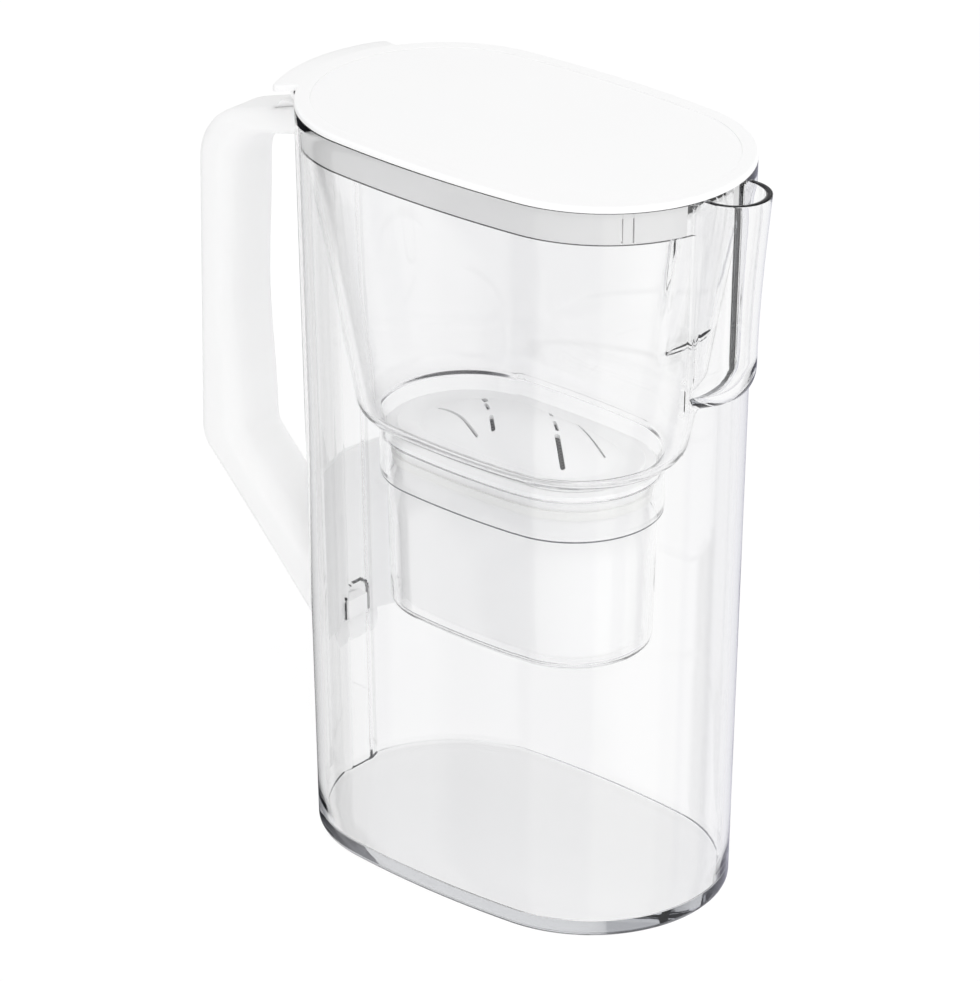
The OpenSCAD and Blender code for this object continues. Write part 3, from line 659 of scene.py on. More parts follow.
    def level(
        self, z: float, inset: float, spout_inset: float | None = None, pocket: bool = False
    ) -> np.ndarray:
        """Ring of the jug's wall, with the hinge notch sunk and the pouring lip raised near the rim."""
        spout_inset = min(inset, self.spout_wall) if spout_inset is None else spout_inset
        xy = self.outline(z, inset, spout_inset, pocket)
        up = self.lip_rise * ease((z - self.lip_start) / (self.rim_z - self.lip_start))
        heights = z + up * ease((xy[:, 0] - self.top_half_l - 0.2) / 0.8)
        start = self.notch_z - self.notch_slope
        in_notch = (xy[:, 0] < 0.0) & (np.abs(xy[:, 1]) < self.rear.notch_half) & (z > start)
        sunk = start + self.notch_slope * (z - start) / (self.rim_z - start)
        return ring(xy, np.where(in_notch, sunk, heights))

    def build(self) -> None:
        """Makes the jug: up the outside, over the rim, down the inside and across the floor."""
        lip, share = quarter(self.lip_r, 6), self.spout_wall / self.rim_wall
        low = [*np.linspace(10, 58, 5), *np.arange(60, 79, 0.6), 84, 100, 125, 150, 175, 187]
        high = [*np.arange(190, 210, 0.8), *np.arange(213, 250, 5), 252, 253.3, 253.9, 257, 261]
        inner = [self.ledge_z, 253.9, 253.3, 252, *range(248, 212, -5), *np.arange(192, 212, 0.8)[::-1]]
        inner += [187, 160, 130, 100, 70, 40, 15]
        rings = [self.level(z, inset) for z, inset in quarter(self.foot_r, 6)]
        rings += [self.level(z, 0.0, pocket=True) for z in low] + [self.level(z, 0.0) for z in high]
        over = lip + [(self.rim_wall - inset, drop) for inset, drop in lip[::-1]]
        rings += [self.level(self.rim_z - drop, inset, inset * share) for inset, drop in over]
        rings += [self.level(z, self.rim_wall, self.spout_wall) for z in (261.0, 257.0, self.ledge_z + 0.02)]
        rings += [self.level(z, self.wall, self.spout_wall) for z in inner]
        foot = [(self.floor_t + z, self.wall + inset) for z, inset in quarter(self.inner_r, 6)[::-1]]
        rings += [self.level(z, inset, self.spout_wall) for z, inset in foot]
        as_piece("jug_body_clear", Surface.through(rings), CLEAR, "jug", ["jug_body"])


# The hopper: rim frame, funnel, collar and well


@dataclass
class RimFrame:
    """White band on the jug's ledge, open at the spout, with two snap tongues and the hinge lug."""

    jug: Jug
    outer: float = 2.05
    thick: float = 2.55
    low_z: float = 254.5
    high_z: float = 265.7
    edge_r: float = 0.25
    gap_w: float = 27.0
    tongue_angle: float = 41.0
    tongue_w: float = 3.0
    slot_w: float = 0.5
    slot_top: float = 263.5
    slot_edge: float = 0.0004
    hinge_x: float = -91.05
    hinge_z: float = 257.5
    barrel_r: float = 3.0
    lug_w: float = 10.0

    def angles(self, oval: Oval) -> tuple[np.ndarray, np.ndarray]:
        """Angles along the front arc from the gap to the side, and whether each lies in a tongue's slot."""
        middle = self.jug.oval(self.low_z).inset(self.outer + self.thick / 2.0)
        half = self.tongue_w / 2.0
        edges = np.array([-half - self.slot_w, -half, half, half + self.slot_w])
        marks = math.radians(self.tongue_angle) + edges / middle.end_r
        fine = np.concatenate([marks - self.slot_edge, marks + self.slot_edge])
        even = np.linspace(math.asin(self.gap_w / 2.0 / middle.end_r), middle.turn, 44, endpoint=False)
        even = even[np.all(np.abs(even[:, None] - fine) > 5.0 * self.slot_edge, axis=1)]
        angles = np.sort(np.concatenate([even, fine]))
        in_slot = np.searchsorted(marks, angles) % 2 == 1
        return angles * oval.turn / middle.turn, in_slot

    def level(self, z: float, inset: float) -> np.ndarray:
        """Open ring from one side of the spout gap round to the other; low points rise in the slots."""
        oval = self.jug.oval(z).inset(inset)
        angles, in_slot = self.angles(oval)
        front, sides = oval.end_arc(angles), oval.sides(14)
        back = oval.end_arc(np.linspace(math.pi - oval.turn, math.pi + oval.turn, 72, endpoint=False), -1)
        around = [oval.side_arc(sides), back, oval.side_arc(sides + math.pi, -1)]
        xy = np.concatenate([front, *around, (front * FLIP_Y)[::-1]])
        slots = np.concatenate([in_slot, np.zeros(len(xy) - 2 * len(front), dtype=bool), in_slot[::-1]])
        return ring(xy, np.where(slots, np.maximum(z, self.slot_top), z))

    def lug(self) -> Surface:
        """Hinge lug: a half-round barrel that narrows to a bar into the band."""
        barrel = arc(self.hinge_x, self.hinge_z, self.barrel_r, np.radians(np.linspace(90.0, 270.0, 25)))
        inner_x = -self.jug.oval(self.hinge_z).half_l + self.outer + self.thick / 2.0
        bar = [[inner_x, self.hinge_z - self.barrel_r], [inner_x, self.hinge_z + self.barrel_r]]
        return extrusion(np.concatenate([barrel, bar])[::-1], -self.lug_w / 2.0, self.lug_w / 2.0)

    def build(self) -> None:
        """Makes the band as a closed loop of chamfered corners, with the lug."""
        a, b, e = self.outer, self.outer + self.thick, self.edge_r
        low, high = self.low_z, self.high_z
        loop = [(low, b - e), (low, a + e), (low + e, a), (high - e, a)]
        loop += [(high, a + e), (high, b - e), (high - e, b), (low + e, b)]
        band = Surface.through([self.level(z, inset) for z, inset in loop], loop_rows=True, loop_cols=False)
        # The band wears the darkened white: painted shade under the lid.
        as_piece("rim_frame_band", band.joined(self.lug()), BAND_WHITE_PAINTED_SHADE, "hopper", ["rim_frame"])


@dataclass
class Hopper:
    """The clear funnel with its pour pocket, the neck collar under it and the well round the cartridge."""

    jug: Jug
    rim: RimFrame
    collar_half_l: float = 53.1
    collar_half_w: float = 31.7
    collar_z: float = 137.5
    collar_top: float = 157.5
    collar_wall: float = 2.0
    seat_z: float = 151.0
    well_inset: float = 3.5
    well_flare: float = 1.1
    well_wall: float = 1.8
    well_z: float = 87.4
    well_r: float = 3.5
    well_lip: float = 11.0
    flare_l: float = 7.2
    flare_w: float = 5.3
    edge_inset: float = 3.3
    edge_z: float = 249.5
    wall: float = 2.0
    rim_r: float = 0.3
    bottom_r: float = 6.0
    neck_round_l: float = 2.1
    neck_round_h: float = 7.4
    corner: float = 0.5
    # Thickness of the painted shadow ring under the collar, and its gap below the collar.
    shadow_ring_t: float = 0.45
    shadow_ring_gap: float = 0.05
    pocket_z: float = 211.0
    pocket_x: float = 70.3
    pocket_lean: float = 0.145
    pocket_w: float = 28.0
    pocket_side: float = 4.0
    pocket_round: float = 2.6
    pour_z: float = 261.5

    @property
    def collar(self) -> Oval:
        """Outer outline of the collar."""
        return Oval.shaped(self.collar_half_l, self.collar_half_w)

    def funnel(self, z: float) -> Oval:
        """Outer outline of the funnel, straight from its bottom to its upright edge."""
        low = Oval.shaped(self.collar_half_l + self.flare_l, self.collar_half_w + self.flare_w)
        t = min(1.0, (z - self.collar_top) / (self.edge_z - self.collar_top))
        return low.toward(self.jug.oval(max(z, self.edge_z)).inset(self.edge_inset), t)

    def well(self, z: float) -> Oval:
        """Outer outline of the well."""
        t = (z - self.well_z) / (self.collar_z - self.well_z)
        return self.collar.inset(self.well_inset - self.well_flare * t)

    def ring(self, oval: Oval, z: float, half: float, face_x: float | None) -> np.ndarray:
        """Ring of the funnel, flat at the front where face_x is given, and raised there above edge_z."""
        reach = min(half + self.pocket_side, 0.9 * oval.end_r)
        flank = oval.end_arc(np.linspace(-oval.turn, -math.asin((reach + 0.2) / oval.end_r), 36))
        side_y = np.linspace(reach, half - self.pocket_round, 7)
        y = np.concatenate([-side_y, np.linspace(-side_y[-1], side_y[-1], 25)[1:-1], side_y[::-1]])
        x = oval.end_x(y)
        if face_x is not None:
            rise = ease(np.linspace(0, 1, 7))
            x = mix(x, np.minimum(x, face_x), np.concatenate([rise, np.ones(23), rise[::-1]]))
        lift = (self.pour_z - self.edge_z) / (self.rim.low_z - self.edge_z)
        front_z = z if z < self.edge_z else self.edge_z + (z - self.edge_z) * lift
        sides = oval.sides(16)[1:]
        back = oval.end_arc(np.linspace(math.pi - oval.turn, math.pi + oval.turn, 72), -1)
        around = [(flank * FLIP_Y)[::-1], oval.side_arc(sides), back, oval.side_arc(sides + math.pi, -1)]
        parts = [ring(flank, z), ring(np.column_stack([x, y]), front_z), ring(np.concatenate(around), z)]
        return np.concatenate(parts)

    def shell_ring(self, z: float, inset: float, extra: float = 0.0) -> np.ndarray:
        """Ring of the funnel's outer wall (inset 0) or inner wall; extra draws in the rounded bottom."""
        face = self.pocket_x - inset + self.pocket_lean * (z - self.pocket_z)
        cut_here = z > self.pocket_z - inset
        half = self.pocket_w / 2.0 + inset
        return self.ring(self.funnel(z).inset(inset + extra), z, half, face if cut_here else None)

    def oval_rings(self, levels: Sequence[tuple[Oval, float]]) -> list[np.ndarray]:
        """Plain rings at levels of outline and height, with the funnel's number of points."""
        return [self.ring(oval, z, self.pocket_w / 2.0, None) for oval, z in levels]

    def outside(self) -> list[np.ndarray]:
        """Rings up the outside: the well's drain, bottom and wall, the collar, and the funnel to its edge."""
        e, c, z0, z1, z2 = self.corner, self.collar, self.well_z, self.collar_z, self.collar_top
        top = self.well(z1)
        levels = [(self.well(z0).inset(self.well_lip), z0)]
        levels += [(self.well(z0 + up).inset(inward), z0 + up) for up, inward in quarter(self.well_r)]
        levels += [(self.well(z), z) for z in (105.0, 120.0, z1 - e)]
        levels += [(top.inset(-0.3 * e), z1 - 0.3 * e), (top.inset(-e), z1)]
        levels += [(c.inset(e), z1), (c.inset(0.3 * e), z1 + 0.3 * e), (c, z1 + e)]
        levels += [(c, 147.0), (c, z2 - 0.7), (c.inset(-0.2), z2 - 0.2), (c.inset(-0.7), z2)]
        rings = self.oval_rings(levels)
        rings += [self.shell_ring(z2 + up, 0.0, inward) for up, inward in quarter(self.bottom_r)[1:]]
        step = [self.pocket_z - 0.3, self.pocket_z + 0.05]
        heights = [170.0, 185, 200, 208, *step, 218, 230, 242, self.edge_z, 252]
        return rings + [self.shell_ring(z, 0.0) for z in heights]

    def inside(self) -> list[np.ndarray]:
        """Rings down the inside: the funnel, its floor, the neck, the seat and the well to its drain."""
        w, e, t = self.wall, self.corner, self.well_wall
        step = [self.pocket_z - w + 0.05, self.pocket_z - w - 0.3]
        heights = [252.0, self.edge_z, 242, 230, 218, *step, 200, 185, 170]
        rings = [self.shell_ring(z, w) for z in heights]
        floor, seat_z = self.collar_top + w, self.seat_z
        bottom = quarter(self.bottom_r - w / 2.0)[:0:-1]
        rings += [self.shell_ring(floor + up, w, inward) for up, inward in bottom]
        bore, seat = self.collar.inset(self.collar_wall), self.well(self.collar_z).inset(t)
        neck = [(self.neck_round_l * inward, self.neck_round_h * up) for up, inward in quarter(1.0, 9)]
        levels = [(bore.inset(-out), floor - down) for out, down in neck]
        levels += [(bore, seat_z + e), (bore.inset(0.3 * e), seat_z + 0.3 * e), (bore.inset(e), seat_z)]
        levels += [(seat.inset(-0.3), seat_z), (seat, seat_z - 0.3), (seat, self.collar_z)]
        levels += [(self.well(z).inset(t), z) for z in (120.0, 105.0)]
        z0 = self.well_z + t
        drain = quarter(self.well_r - t)[::-1]
        levels += [(self.well(z0).inset(t + inward), z0 + up) for up, inward in drain]
        levels.append((self.well(self.well_z).inset(self.well_lip), z0))
        return rings + self.oval_rings(levels)

    def build(self) -> None:
        """Makes funnel, collar and well as the one clear moulding they look like, and the painted shadow under the
        collar.
        """
        top, w, e = self.rim.low_z, self.wall, self.rim_r
        corners = ((top - e, 0.0), (top, e), (top, w - e), (top - e, w))
        edge = [self.shell_ring(z, inset) for z, inset in corners]
        body = Surface.through([*self.outside(), *edge, *self.inside()], loop_rows=True)
        as_piece("hopper_clear", body, CLEAR, "hopper", ["hopper_funnel", "neck_collar", "cartridge_well"])
        # A thin dark grey ring just under the collar, all round: painted shadow of the gap between collar and well.
        z, inner, outer = self.collar_z - self.shadow_ring_gap, self.well(self.collar_z).inset(-0.7), self.collar
        loop = [(inner, z - self.shadow_ring_t), (outer.inset(0.3), z - self.shadow_ring_t), (outer.inset(0.15), z - 0.25)]
        loop += [(outer.inset(0.3), z), (inner, z)]
        shadow_ring = Surface.through(self.oval_rings(loop), loop_rows=True)
        as_piece("collar_painted_shadow_ring", shadow_ring, PAINTED_SHADOW_GREY, "hopper")


# The lid


@dataclass
class Lid:
    """White lid: rounded plate with a sloping thumb wing, hinge knuckles, locating ribs and an inset panel."""

    rim: RimFrame
    half_l: float = 84.4
    half_w: float = 51.5
    low_z: float = 266.0
    top_z: float = 268.05
    edge_r: float = 0.95
    panel_inset: float = 5.4
    panel_t: float = 0.8
    panel_r: float = 0.3
    gap: float = 0.15
    wing_reach: float = 9.5
    wing_half: float = 28.5
    wing_drop: float = 1.8
    wing_t: float = 2.2
    fold: float = 1.2
    root_r: float = 2.2
    corner_r: float = 3.0
    knuckle_w: float = 5.6
    knuckle_gap: float = 0.4
    knuckle_sink: float = 1.4
    rib_inset: float = 5.3
    rib_h: float = 3.2
    rib_t: float = 1.4
    rib_e: float = 0.3
    rib_from_y: float = 18.0
    rib_to: float = 0.7

    @property
    def oval(self) -> Oval:
        """The lid's outline without its wing."""
        return Oval.shaped(self.half_l, self.half_w)

    def wing_path(self) -> np.ndarray:
        """Distance and angle about the rear arc's centre of each point of the wing's edge, from +Y to -Y.

        A concave turn out of the lid's edge, a straight radial side, a rounded corner and the long outer arc.
        """
        r1, f, c = self.oval.end_r + self.wing_reach, self.root_r, self.corner_r
        side = math.radians(self.wing_half)
        corner, root = r1 - c, self.oval.end_r + f
        corner_a, root_a = side - math.asin(c / corner), side + math.asin(f / root)
        turn = root_a + np.linspace(math.pi, 1.5 * math.pi, 8)
        bend = corner_a + np.linspace(math.pi / 2.0, 0.0, 9)
        concave = arc(root * math.cos(root_a), root * math.sin(root_a), f, turn)
        convex = arc(corner * math.cos(corner_a), corner * math.sin(corner_a), c, bend)
        x, y = np.concatenate([concave, convex]).T
        radius, angle = np.hypot(x, y), np.arctan2(y, x)
        outer = np.linspace(corner_a, -corner_a, 42)[1:-1]
        radius = np.concatenate([radius, np.full(len(outer), r1), radius[::-1]])
        return np.column_stack([radius, np.concatenate([angle, outer, -angle[::-1]])])

    def edge(self) -> tuple[np.ndarray, np.ndarray]:
        """Outermost outline and, for each of its points, the direction straight out of the lid's own oval."""
        oval = self.oval
        front = np.linspace(-oval.turn, oval.turn, 90, endpoint=False)
        sides = oval.sides(18)[1:]
        path = self.wing_path()
        flank = np.linspace(oval.turn, path[0, 1] + 0.02, 26)
        out = math.pi - np.concatenate([flank, path[:, 1], -flank[::-1]])
        straight = np.full(len(flank), oval.end_r)
        radius = np.concatenate([straight, path[:, 0], straight])
        rear = arc(-oval.centre, 0.0, radius, out)
        points = [oval.end_arc(front), oval.side_arc(sides), rear, oval.side_arc(sides + math.pi, -1)]
        turns = np.concatenate([front, sides, out, sides + math.pi])
        return np.concatenate(points), arc(0.0, 0.0, 1.0, turns)

    def beyond(self, xy: np.ndarray) -> np.ndarray:
        """How far each point lies outside the rear end arc, 0 inside it."""
        r = np.hypot(xy[:, 0] + self.oval.centre, xy[:, 1]) - self.oval.end_r
        return np.where(xy[:, 0] < -self.oval.centre, np.maximum(r, 0.0), 0.0)

    def top_at(self, xy: np.ndarray) -> np.ndarray:
        """Height of the top face: flat over the lid, then sloping down along the wing."""
        r = self.beyond(xy)
        bent = soft_max(r, 0.0 * r, self.fold) - 0.5 * self.fold * np.exp(-r)
        return self.top_z - self.wing_drop / self.wing_reach * bent

    def under_at(self, xy: np.ndarray) -> np.ndarray:
        """Height of the underside: the plate's, then that of the wing, which hangs outside the jug's rim."""
        return mix(self.low_z, self.top_at(xy) - self.wing_t, ease((self.beyond(xy) - 0.45) / 0.4))

    def ring(self, share: float, inset: float, drop: float, top: bool) -> np.ndarray:
        """Ring a share of the way from the oval to the edge, moved in by inset and up or down by drop."""
        points, out = self.edge()
        xy = points - out * (self.beyond(points) * (1.0 - share) + inset)[:, None]
        return ring(xy, self.top_at(xy) - drop if top else self.under_at(xy) + drop)

    def plate(self) -> Surface:
        """Rim and wing: underside from the middle outwards, round edge, top face, then the panel's recess."""
        inset = self.panel_inset
        under = [(0.0, 20.0, 0.0), (0.0, 1.0, 0.0)]
        under += [(share, 0.1, 0.0) for share in (0.0, 0.05, 0.1, 0.3, 0.7)]
        under += [(1.0, 0.15, 0.0), (1.0, 0.04, 0.04), (1.0, 0.0, 0.15)]
        over = [(1.0, inward, drop) for inward, drop in quarter(self.edge_r, 6)]
        over += [(share, 1.0, 0.0) for share in (0.75, 0.5, 0.25, 0.1, 0.0)]
        over += [(0.0, d, 0.0) for d in (2.0, 3.5, inset - 0.4)]
        over += [(0.0, inset - 0.2, 0.02), (0.0, inset, 0.12), (0.0, inset, self.panel_t + self.gap)]
        rings = [self.ring(*row, False) for row in under] + [self.ring(*row, True) for row in over]
        return Surface.through(rings)

    def knuckle(self) -> Surface:
        """One knuckle: a barrel with a web up into the wing."""
        x, z, r = self.rim.hinge_x, self.rim.hinge_z, self.rim.barrel_r
        barrel = arc(x, z, r, np.radians(np.linspace(180.0, 360.0, 25)))
        top = self.low_z - self.knuckle_sink
        start = self.rim.lug_w / 2.0 + self.knuckle_gap
        profile = np.concatenate([barrel, [[x + r, top], [x - r, top]]])
        return extrusion(profile[::-1], start, start + self.knuckle_w)

    def rib(self) -> Surface:
        """Locating rib under the lid, along the side and round to the spout's gap."""
        near, far, e = self.rib_inset, self.rib_inset + self.rib_t, self.rib_e
        r = self.oval.end_r - near
        start = math.asin(self.rib_from_y / r)
        stop = math.pi - math.acos(min(1.0, (self.half_l * self.rib_to - self.oval.centre) / r))
        z0, z1 = self.low_z - self.rib_h, self.low_z + e
        rings = []
        for z, inset in ((z0, far - e), (z0, near + e), (z0 + e, near), (z1, near), (z1, far), (z0 + e, far)):
            o = self.oval.inset(inset)
            front = o.end_arc(np.linspace(start, o.turn, 24, endpoint=False))
            back = o.end_arc(np.linspace(math.pi - o.turn, stop, 10), -1)
            rings.append(ring(np.concatenate([front, o.side_arc(o.sides(14)), back]), z))
        return Surface.through(rings, loop_rows=True, loop_cols=False)

    def build(self) -> None:
        """Makes the lid and its panel."""
        knuckle, rib = self.knuckle(), self.rib()
        lid = self.plate().joined(knuckle, knuckle.mirrored(), rib, rib.mirrored())
        as_piece("lid_cover_white", lid, LID_WHITE, "lid", ["lid_cover"])
        low, inset = self.top_z - self.panel_t - self.gap + 0.02, self.panel_inset + 0.03
        high = low + self.panel_t
        levels = [(low, inset + 0.1), (high - 0.08, inset), (high - 0.02, inset + 0.12)]
        levels += [(high, inset + self.panel_r), (high, 15.0)]
        panel = Surface.through([ring(self.oval.inset(d).outline(96, 20), h) for h, d in levels])
        as_piece("lid_top_panel_white", panel, LID_WHITE, "lid", ["lid_top_panel"])


# The handle


@dataclass
class Handle:
    """Hollow satin handle: sloping arm, upright grip, elbow and strut, with the foot plate and its latch."""

    jug: Jug
    width: float = 25.5
    edge_r: float = 6.5
    grip_out: float = 54.1
    grip_lean: float = 1.9
    top_depth: float = 16.6
    bow: float = 2.2
    low_depth: float = 19.8
    corner_drop: float = 27.9
    arm_rise: float = 0.31
    under_rise: float = 0.262
    corner_depth: float = 4.0
    corner_r: float = 22.0
    inner_corner_r: float = 17.0
    elbow_z: float = 115.4
    elbow_rise: float = 5.8
    elbow_r: float = 13.0
    inner_elbow_r: float = 7.0
    strut_fall: float = 1.03
    end_x: float = -74.4
    end_step: float = 0.01
    sink: float = 0.05
    arm_top: float = 252.5
    block_l: float = 20.0
    block_w: float = 18.0
    block_r: float = 1.5
    block_bevel: float = 0.8
    block_lift: float = 0.02
    plate_w: float = 42.0
    plate_t: float = 2.4
    plate_z: float = 60.5
    plate_h: float = 64.0
    plate_r: float = 0.7
    plate_gap: float = 0.03

    @staticmethod
    def rounded(a: np.ndarray, b: np.ndarray, c: np.ndarray, r: float, count: int) -> np.ndarray:
        """Arc of radius r that rounds the corner b on the way from a to c."""
        u, v = (a - b) / np.linalg.norm(a - b), (c - b) / np.linalg.norm(c - b)
        opening = math.acos(float(u @ v))
        middle = b + (u + v) / np.linalg.norm(u + v) * r / math.sin(opening / 2.0)
        start, end = (b + leg * r / math.tan(opening / 2.0) - middle for leg in (u, v))
        way = math.copysign(math.pi - opening, start[0] * end[1] - start[1] * end[0])
        return arc(*middle, r, math.atan2(start[1], start[0]) + np.linspace(0.0, way, count))

    def line(self, path: Sequence[np.ndarray], top_r: float, low_r: float, bow: float) -> np.ndarray:
        """Side outline along four points: its corners rounded, its grip drawn in by bow sin^2(pi t)."""
        start, top, low, end = path
        c1, c2 = self.rounded(start, top, low, top_r, 15), self.rounded(top, low, end, low_r, 11)
        t = np.linspace(0.0, 1.0, 20)[1:-1, None]
        grip = mix(c1[-1], c2[0], t) - bow * np.sin(math.pi * t) ** 2 * np.array([1.0, 0.0])
        far = np.linspace(0.0, 1.0, 14)[:, None]
        return np.concatenate([mix(start, c1[0], far[:-1]), c1, grip, c2, mix(c2[-1], end, far[1:])])

    def stations(self) -> tuple[np.ndarray, np.ndarray]:
        """Outer and inner side outline, point for point, as X and Z."""
        corner = np.array([-self.jug.top_half_l - self.grip_out, self.jug.rim_z - self.corner_drop])
        elbow = np.array([corner[0] - self.grip_lean, self.elbow_z])
        in_corner = corner + np.array([self.top_depth, -self.corner_depth])
        in_elbow = elbow + np.array([self.low_depth, self.elbow_rise])
        slopes = [(corner, self.arm_rise), (elbow, -self.strut_fall)]
        slopes += [(in_corner, self.under_rise), (in_elbow, -1.0)]
        ends = [p + (self.end_x - p[0]) * np.array([1.0, slope]) for p, slope in slopes]
        outer = self.line([ends[0], corner, elbow, ends[1]], self.corner_r, self.elbow_r, 0.0)
        inner = [ends[2], in_corner, in_elbow, ends[3]]
        return outer, self.line(inner, self.inner_corner_r, self.inner_elbow_r, self.bow)

    def wall_x(self, y: Number, z: Number, out: Number) -> Number:
        """X of the jug's back wall at each y and z, moved out by out: -(c + sqrt((r + out)^2 - y^2))."""
        oval = self.jug.oval(z)
        return -(oval.centre + np.sqrt((oval.end_r + out) ** 2 - y * y))

    def rings(self) -> np.ndarray:
        """Rounded rectangles across the handle at each station, ended where they meet the jug's back wall."""
        outer, inner = self.stations()
        depth = np.linalg.norm(outer - inner, axis=1, keepdims=True)
        u, mid = (outer - inner) / depth, (outer + inner) / 2.0
        r = np.minimum(self.edge_r, depth / 2.0 - 0.3)
        turn = np.radians(np.concatenate([q + np.linspace(0.0, 90.0, 9) for q in (0, 90, 180, 270)]))
        along_u = np.repeat([1.0, -1.0, -1.0, 1.0], 9) * (depth / 2.0 - r) + r * np.cos(turn)
        along_v = np.repeat([1.0, 1.0, -1.0, -1.0], 9) * (self.width / 2.0 - r) + r * np.sin(turn)
        x, z = (mid[:, i : i + 1] + u[:, i : i + 1] * along_u for i in (0, 1))
        grid = self.ended(np.stack([x, along_v, np.minimum(z, self.arm_top)], axis=-1))
        return self.ended(grid[::-1])[::-1]

    def ended(self, grid: np.ndarray) -> np.ndarray:
        """Slides the leading rings that lie inside the jug or the foot plate back out to its surface."""
        x, y, z = np.moveaxis(grid, -1, 0)
        on_plate = (z > self.plate_z) & (z < self.plate_z + self.plate_h)
        clear = x - self.wall_x(y, z, np.where(on_plate, self.plate_t, 0.0) - self.sink)
        first, cols = np.argmax(clear < 0.0, axis=0), np.arange(grid.shape[1])
        a, b = clear[first - 1, cols], clear[first, cols]
        crossing = mix(grid[first - 1, cols], grid[first, cols], (a / (a - b))[:, None])
        left = first[None, :] - np.arange(len(grid))[:, None]
        spread = self.end_step * left[..., None] * np.array([1.0, 0.0, 0.0])
        return np.where((left > 0)[..., None], crossing[None] + spread, grid)

    def block(self) -> Surface:
        """Low block on the arm under the wing."""
        back = -self.jug.top_half_l - self.block_l
        low = self.jug.rim_z - self.corner_drop + (self.grip_out - self.block_l) * self.arm_rise - 1.0
        top = self.arm_top + self.block_lift
        wall = float(self.wall_x(0.0, self.arm_top, 0.0))
        turn = np.radians(np.linspace(140.0, 90.0, 6))
        shoulder = arc(back + self.arm_top - low, top - self.block_r, self.block_r, turn)
        profile = np.concatenate([[[back, low]], shoulder, [[wall, top], [wall, low]]])
        return extrusion(profile[::-1], -self.block_w / 2.0, self.block_w / 2.0, self.block_bevel)

    def foot_plate(self) -> Surface:
        """Plate that hugs the back wall, with rounded rims."""
        t, e, gap = self.plate_t, self.plate_r, self.plate_gap
        z0, z1 = self.plate_z, self.plate_z + self.plate_h
        loop = [(z0, gap), (z0, t - e), (z0 + 0.3 * e, t - 0.3 * e)]
        loop += [(z, t) for z in (z0 + e, 75.0, 90.0, 105.0, z1 - e)]
        loop += [(z1 - 0.3 * e, t - 0.3 * e), (z1, t - e), (z1, gap)]
        rings = []
        for z, out in loop:
            oval = self.jug.oval(z).inset(-out)
            half = math.asin(self.plate_w / 2.0 / oval.end_r)
            rings.append(ring(oval.end_arc(np.linspace(math.pi - half, math.pi + half, 60), -1), z))
        return Surface.through(rings, loop_rows=True, loop_cols=False)

    def build(self) -> None:
        """Makes the handle's shell, foot plate and latch."""
        shell = Surface.through(list(self.rings())).joined(self.block())
        as_piece("handle_shell_satin", shell, SATIN, "jug", ["handle_shell", "handle_inner_cover"])
        as_piece("handle_foot_plate_white", self.foot_plate(), LID_WHITE, "jug", ["handle_foot_plate"])
        dress("foot_latch", LID_WHITE)


# The cartridge


